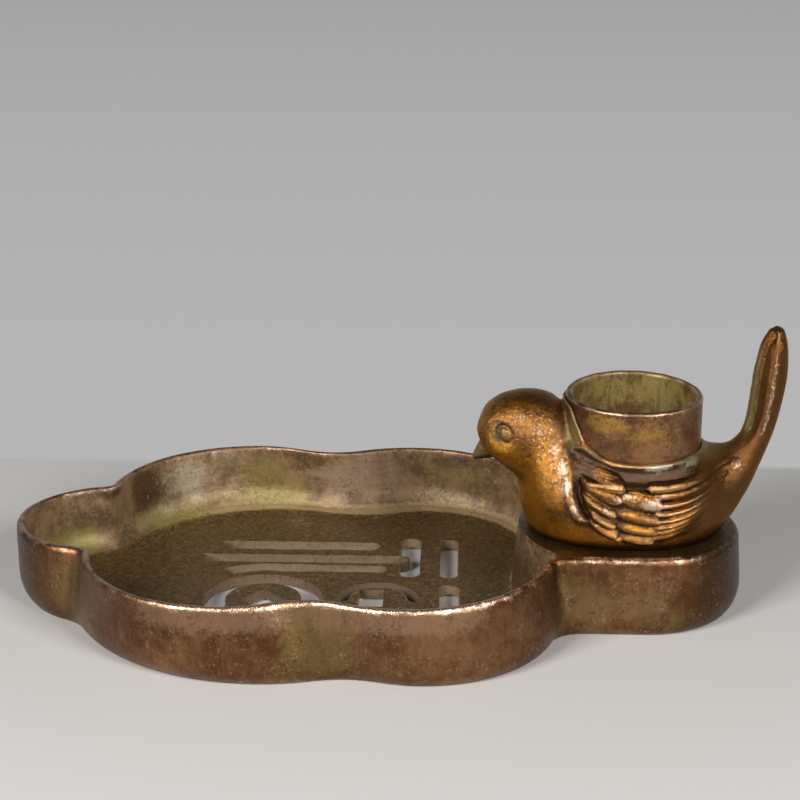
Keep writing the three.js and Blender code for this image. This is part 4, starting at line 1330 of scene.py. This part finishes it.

# %% [markdown]
# The dish is coppery brown outside with fine upright scratches, olive in the notches and inside the
# wall, and dark brown with dirt on the floor and the deck. Light and shade are painted on it too: a
# highlight on the upper outer wall, a light band low in the cove, shade on the far ends outside and
# a shadow on the deck under the bird. Its lip is rubbed to a pinkish shine, with a painted
# highlight.

# %% Dish finish
bronze = Finish("dish bronze")
outer = bronze.mottled(38.0, 0.42, 0.62, (0.13, 0.052, 0.018), (0.27, 0.13, 0.055))
# A painted highlight on the upper outer wall, then olive patina in the notches.
outer = bronze.stained(outer, ("upper_wall_highlight", (0.42, 0.26, 0.16), 0.5, 1.6, 160.0),
                       ("notch", (0.24, 0.17, 0.06), 0.55, 2.4, 130.0))
outer = bronze.scratched(outer, 0.12, 800.0, 0.54, 0.72, (0.42, 0.25, 0.15), 0.2)
outer = bronze.scratched(outer, 0.3, 260.0, 0.5, 0.72, (0.07, 0.035, 0.015), 0.3)
# Painted shade on the walls that face along the dish.
outer = bronze.stained(outer, ("shade", (0.045, 0.021, 0.008), 0.8))
patina = bronze.mottled(70.0, 0.4, 0.62, (0.12, 0.07, 0.03), (0.32, 0.2, 0.1))
patina = bronze.stained(patina, ("green", (0.28, 0.23, 0.055), 0.75, 1.4, 60.0),
                        ("brown", (0.07, 0.035, 0.013), 0.85, 1.2, 130.0),
                        ("pale", (0.45, 0.31, 0.2), 0.7, 1.4, 120.0))
inside_mask, floor_mask = bronze.stored("inside"), bronze.stored("floor")
colour = bronze.mix(inside_mask, outer, patina)
dirt = bronze.mottled(900.0, 0.36, 0.64, (0.034, 0.018, 0.006), (0.17, 0.103, 0.028))
dirty = bronze.times(bronze.highest(floor_mask, bronze.stored("deck")), 0.95)
# The cove paint below is a painted light band.
colour = bronze.stained(bronze.mix(dirty, colour, dirt),
                        ("cove_highlight", (0.48, 0.34, 0.16), 0.55, 1.2, 110.0),
                        ("bloom", (0.45, 0.43, 0.31), 0.55, 1.3, 320.0),
                        ("slot", (0.23, 0.18, 0.1), 0.75),
                        ("coin wall", (0.08, 0.055, 0.022), 0.85))
colour = bronze.speckled(colour, (0.04, 0.022, 0.01), (0.5, 0.4, 0.26), 0.4)
colour = bronze.worn(colour, grime, 0.25, 0.9, 140.0, (0.06, 0.035, 0.012), 0.75)
# A painted shadow on the deck under the bird.
colour = bronze.stained(colour, ("shadow_under_bird", (0.012, 0.007, 0.004), 0.9))

# %% [markdown]
# The worn places are found by their shape. The lip has its own mask, which is rubbed metal and a
# painted highlight in one, weaker at the ends that are painted in shade. They are bright and
# smooth.
# The rest of the inside is duller than bare metal, because patina lies on it.

# %% Worn places on the dish, and the lip's painted highlight
worn = bronze.times(bronze.mask(rubbed, Start=0.05, Full=0.2, Scale=260.0),
                    bronze.minus(1.0, bronze.times(floor_mask, 0.8)))
# The lip's mask is rubbed metal and painted highlight in one, weaker where painted shade lies.
lip_rub_and_highlight = bronze.times(bronze.stored("lip"),
                        bronze.minus(0.75, bronze.times(bronze.stored("shade"), 0.4)))
worn = bronze.highest(worn, bronze.frayed(lip_rub_and_highlight, 2.4, 260.0))
dull = bronze.times(inside_mask, bronze.minus(1.0, worn))
grit = bronze.noise(bronze.spot, 900.0, 5.0, 0.7)
roughness = bronze.minus(bronze.rough(grit, 0.2, 0.24), bronze.times(worn, 0.06))
bronze.feed(bronze.shader, Base_Color=bronze.mix(worn, colour, (0.75, 0.5, 0.36)),
            Metallic=bronze.minus(0.92, bronze.times(dull, 0.55)),
            Roughness=bronze.plus(roughness, bronze.times(dull, 0.14)))
lines = bronze.mask(scratches, Squeeze=(1, 1, 0.07), Scale=900.0, Low=0.4, High=0.8)
bronze.bumpy(bronze.plus(bronze.times(grit, 0.8), bronze.times(lines, 0.2)), 0.4, 0.0006)
dish_finish = bronze.material

# %% [markdown]
# The bird has been handled most. Its breast and cheeks are golden brown and the grooves are black.
# The crown and the back half are painted darker as shade, and the shoulder and the feather tips get
# painted highlights over their rubbed metal, almost silver. Olive is left where fingers don't
# reach:
# round the eye, beside the cup and in the front of the tail.
# Both sides get the same masks, because the far side is taken as the mirror of the near one.

# %% Dark lines on the bird, and painted shadow at its foot
points, normals = points_of(bird)
points -= (AXIS_X, 0, BIRD_FOOT)
points[:, 1] = -np.abs(points[:, 1])
side_x, side_y, side_z = points.T
eye_x, eye_z = side_x - EYE[0], side_z - EYE[1]
eye_line = (np.exp(-((from_eye() - 1.25) / 0.22) ** 2) * step(-eye_x + 0.5 * eye_z, -0.6, 1.2)
            * (side_y < -5))
brow_line = (np.exp(-((from_socket() - 1.0) / 0.16) ** 2) * (side_z > SOCKET[1] + 1.5)
             * (side_y < -5))
from_mouth = side_z - np.interp(side_x, (-51, -44), (21.7, 24.2))
mouth_line = np.exp(-(from_mouth / 0.5) ** 2) * ((side_x < -44) & (side_y < 0))
# A painted shadow round the foot, where the belly meets the deck.
foot_shadow = (1 - step(side_z, 0.6, 3.2)) * np.clip(1 - normals[:, 2], 0, 1)
store(bird, "black_lines_and_foot_shadow", np.max([foot_shadow, eye_line, 0.75 * brow_line, mouth_line], axis=0))

# %% Other masks on the bird
# Painted shade: the upward-facing crown, and spots on the nape, back, rump, tail and round the
# foot.
shade_patches = step(normals[:, 2], 0.7, 1) * (side_x < -20) * (side_z > 38)
shade_spots = soft_spots(
    points, ((-23, -9, 38), (4.5, 9, 6), 1.0), ((30, -14, 14), (12, 12, 10), 0.8),
    ((34, -8, 20), (6, 9, 9), 0.7), ((-2, -24, 25.5), (9, 8, 3.4), 1.0),
    ((5, -20, 0), (26, 30, 4.2), 1.0), ((46, -4, 50), (4, 9, 22), 1.0),
    ((40, -6, 26), (8, 9, 13), 1.3))
store(bird, "shade_patches", np.maximum(shade_patches, shade_spots))
# Painted shade over the back half of the bird.
store(bird, "shade", step(side_x, 2, 26))
# Painted shade on the surfaces of the rump and tail that face back.
store(bird, "back_facing_shade", step(normals[:, 0], 0.15, 0.6) * step(side_x, 20, 30))
store(bird, "gold", soft_spots(
    points, ((-34, -13, 8), (10, 14, 12), 1.0), ((-42, -9, 27), (8, 9, 5), 1.0),
    ((-24, -20, 4), (12, 12, 6), 0.8), ((-2, -24, 8), (14, 10, 5), 0.6)))
store(bird, "bloom", soft_spots(
    points, ((6, -22, 28), (4.5, 3, 2), 1.0), ((18, -16, 28), (8, 6, 2.5), 0.6)))
store(bird, "olive", soft_spots(
    points, ((-44, -11.5, 33.6), (4.2, 4, 4.2), 1.0), ((-49, 0, 24.6), (4.6, 5, 3.6), 1.0),
    ((-20.5, -13, 36), (3, 6, 10), 1.0), ((-15, -18, 30), (4, 6, 4), 0.8),
    ((-20.5, 0, 40), (3, 12, 6), 0.9), ((24, -4, 30), (9, 16, 5), 1.0),
    ((36.6, -2.5, 44), (3.6, 5, 15), 1.0), ((38.5, -3, 58), (3, 5, 9), 0.8),
    ((14, -20, 25.6), (12, 8, 2.6), 0.6), ((-39, -12, 21.5), (5, 6, 2.5), 0.4)))

# %% [markdown]
# The gaps between feathers are black, and the feather tips get a painted highlight over their
# rubbed metal, as do the shoulder, the tail's side edge and the bead. Both follow from the height
# that the feathers give the skin, worked out again for the points that the cuts left.

# %% Feather gaps and painted highlights
tops = feather_heights()
edge_far, _ = distance_to(WING_EDGE, closed=True)
in_wing = inside(WING_EDGE) * step(edge_far, 0.4, 1.6) * step(-side_y, 9, 14)
gaps = in_wing * (1 - step(tops, 0.15, 0.8)) * (1 - step(side_x, 16, 26))
store(bird, "gap", blur(gaps, neighbours(bird), 2))
# Painted highlights along the tail's side edge, and in spots on the shoulder, feather tips and
# bead, partly over rubbed metal.
tail_edge_highlight = step(side_z, 30, 36) * (side_x > 30) * step(np.abs(normals[:, 1]), 0.93, 0.99)
highlight_on_raised = 0.45 + 0.55 * step(tops, 0.9, 1.9) + (side_x < -18)
store(bird, "highlight_and_rub", np.maximum(0.45 * tail_edge_highlight, highlight_on_raised * soft_spots(
    points, ((-37, -10, 40), (3.2, 5, 2.2), 0.25), ((-31, -13, 36), (3, 5, 3), 0.25),
    ((-25.5, -15.5, 30.5), (2.2, 5, 3.4), 0.35), ((-23.4, -18, 25.5), (2, 6, 4), 0.5),
    ((-22.2, -20.5, 20), (1.8, 6, 4), 0.55), ((-20, -23, 14), (1.8, 6, 4), 0.5),
    ((-4, -26, 19), (4, 6, 2.2), 1.0), ((4, -27, 17), (4, 6, 2.2), 1.0),
    ((8, -26, 17), (3, 6, 4.5), 1.1), ((-9, -26, 16), (3, 6, 2.6), 0.8),
    ((33.2, -8.4, 23.7), (1.5, 3, 1.5), 1.3))))

# %% [markdown]
# The gold is laid on first, and the dark comes over it: painted shade on the back half, on the
# surfaces facing back, on the crown and round the foot, and black in the grooves. Handling has left
# a thin smooth coat on the front half, which gives the highlights a hard core. Its edge tint is
# warm, so that the metal doesn't turn white at a glancing angle.

# %% Bird finish
WARM_EDGE = (1.0, 0.72, 0.45, 1)
COAT_ROUGHNESS = 0.2
bronze = Finish("bird bronze")
colour = bronze.mottled(70.0, 0.4, 0.62, (0.15, 0.054, 0.006), (0.4, 0.16, 0.013))
colour = bronze.speckled(colour, (0.05, 0.018, 0.005), (0.75, 0.48, 0.25), 0.8)
# Painted shade on the back half, on back-facing surfaces and in patches, then painted highlights.
colour = bronze.stained(colour, ("shade", (0.11, 0.043, 0.011), 0.85, 0.8, 60.0),
                        ("gold", (0.62, 0.26, 0.014), 0.6, 1.3, 90.0),
                        ("back_facing_shade", (0.055, 0.021, 0.006), 0.75),
                        ("shade_patches", (0.12, 0.05, 0.016), 0.7, 0.7, 120.0),
                        ("olive", (0.155, 0.118, 0.042), 0.85, 0.9, 260.0),
                        ("highlight_and_rub", (0.85, 0.67, 0.5), 0.6, 2.2, 1200.0))
not_olive = bronze.minus(0.5, bronze.times(bronze.stored("olive"), 0.5))
colour = bronze.worn(colour, rubbed, 0.04, 0.16, 350.0, (0.66, 0.38, 0.17), not_olive)
colour = bronze.worn(colour, grime, 0.08, 0.45, 220.0, (0.03, 0.016, 0.007), 0.92)
# The black paint draws the face's dark lines and a painted shadow at the foot.
colour = bronze.stained(colour, ("gap", (0.035, 0.015, 0.005), 0.85, 0.8, 300.0),
                        ("bloom", (0.42, 0.43, 0.3), 0.7, 1.6, 500.0),
                        ("black_lines_and_foot_shadow", (0.012, 0.007, 0.004), 0.9))
grit = bronze.noise(bronze.spot, 1000.0, 5.0, 0.7)
bronze.feed(bronze.shader, Base_Color=colour, Roughness=bronze.rough(grit, 0.2, 0.26),
            Metallic=bronze.minus(0.88, bronze.times(bronze.stored("olive"), 0.45)),
            Coat_Weight=bronze.minus(0.4, bronze.times(bronze.stored("shade"), 0.34)),
            Coat_Normal=bronze.bumpy(grit, 0.5, 0.0006))
bronze.shader.inputs["Coat Roughness"].default_value = COAT_ROUGHNESS
bronze.shader.inputs["Specular Tint"].default_value = WARM_EDGE
bird_finish = bronze.material

# %% [markdown]
# The cup is purplish brown outside with a warmer patch below its lip. Inside it is olive with brown
# spots and dark upright stains, and the lip itself is rubbed bright.

# %% Cup finish
points, _ = points_of(cup)
points -= (AXIS_X, 0, BIRD_FOOT)
from_axis = np.hypot(points[:, 0], points[:, 1])
store(cup, "inside", 1 - step(from_axis, inner + 0.2, inner + 1.0))
store(cup, "warm", soft_spots(
    points, ((-10, -20, 41), (9, 9, 3.2), 1.0), ((4, -22, 38), (13, 7, 6), 0.6)))
store(cup, "foot", 1 - step(points[:, 2], 26.5, 30.5))

bronze = Finish("cup bronze")
outer = bronze.mottled(60.0, 0.4, 0.62, (0.12, 0.055, 0.024), (0.28, 0.145, 0.062))
outer = bronze.stained(outer, ("warm", (0.5, 0.27, 0.06), 0.75, 1.5, 180.0),
                       ("foot", (0.25, 0.19, 0.1), 0.6, 0.9, 160.0))
outer = bronze.speckled(outer, (0.05, 0.025, 0.012), (0.5, 0.36, 0.22), 0.5)
patina = bronze.mottled(110.0, 0.45, 0.6, (0.26, 0.19, 0.06), (0.13, 0.07, 0.025))
patina = bronze.scratched(patina, 0.15, 500.0, 0.56, 0.68, (0.05, 0.03, 0.014), 0.45)
inside_mask = bronze.stored("inside")
colour = bronze.worn(bronze.mix(inside_mask, outer, patina), rubbed, 0.02, 0.1, 300.0,
                     (0.7, 0.5, 0.36))
grit = bronze.noise(bronze.spot, 900.0, 5.0, 0.7)
bronze.feed(bronze.shader, Base_Color=colour, Roughness=bronze.rough(grit, 0.22, 0.25),
            Metallic=bronze.minus(0.9, bronze.times(inside_mask, 0.6)))
bronze.bumpy(grit, 0.4, 0.0005)
cup_finish = bronze.material

# %% [markdown]
# The seat and the fixings are plainer brass: dull, with smoke stains on the seat.

# %% Brass finishes
def brass_finish(name, dark, light, smooth):
    brass = Finish(name)
    colour = brass.worn(brass.mottled(90.0, 0.4, 0.6, dark, light), rubbed, 0.02, 0.1, 400.0,
                        (0.7, 0.55, 0.3))
    grit = brass.noise(brass.spot, 1200.0, 4.0)
    brass.feed(brass.shader, Base_Color=colour, Roughness=brass.rough(grit, smooth, 0.2))
    brass.shader.inputs["Metallic"].default_value = 0.85
    brass.bumpy(grit, 0.2, 0.0003)
    return brass.material


seat_finish = brass_finish("seat brass", (0.06, 0.05, 0.03), (0.28, 0.2, 0.09), 0.4)
fixing_finish = brass_finish("fixing brass", (0.25, 0.18, 0.07), (0.45, 0.34, 0.15), 0.3)

# %% [markdown]
# Last, every piece gets its finish, rides on its body, and takes the place of its CAD node.

# %% Dress the frame
DRESSED = [
    (dish, "dish", "burner", "dish_bronze", dish_finish),
    (bird, "bird", "burner", "bird_bronze", bird_finish),
    (cup, "cup", "burner", "cup_bronze", cup_finish),
    (seat, "cone_seat", "cone_seat", "seat_brass", seat_finish),
    (washers[0], "breast_washer", "burner", "fixing_brass", fixing_finish),
    (washers[1], "tail_washer", "burner", "fixing_brass", fixing_finish),
    (screws[0], "breast_screw", "burner", "fixing_brass", fixing_finish),
    (screws[1], "tail_screw", "burner", "fixing_brass", fixing_finish),
]
for piece, node, rides_on, finish_slot, finish in DRESSED:
    piece.data.materials.clear()
    piece.data.materials.append(finish)
    piece.data.polygons.foreach_set("material_index", np.zeros(len(piece.data.polygons), np.int32))
    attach(piece, rides_on)
    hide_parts(node)
    print(piece.name, "stands for", node, "with", len(piece.data.vertices), "points")
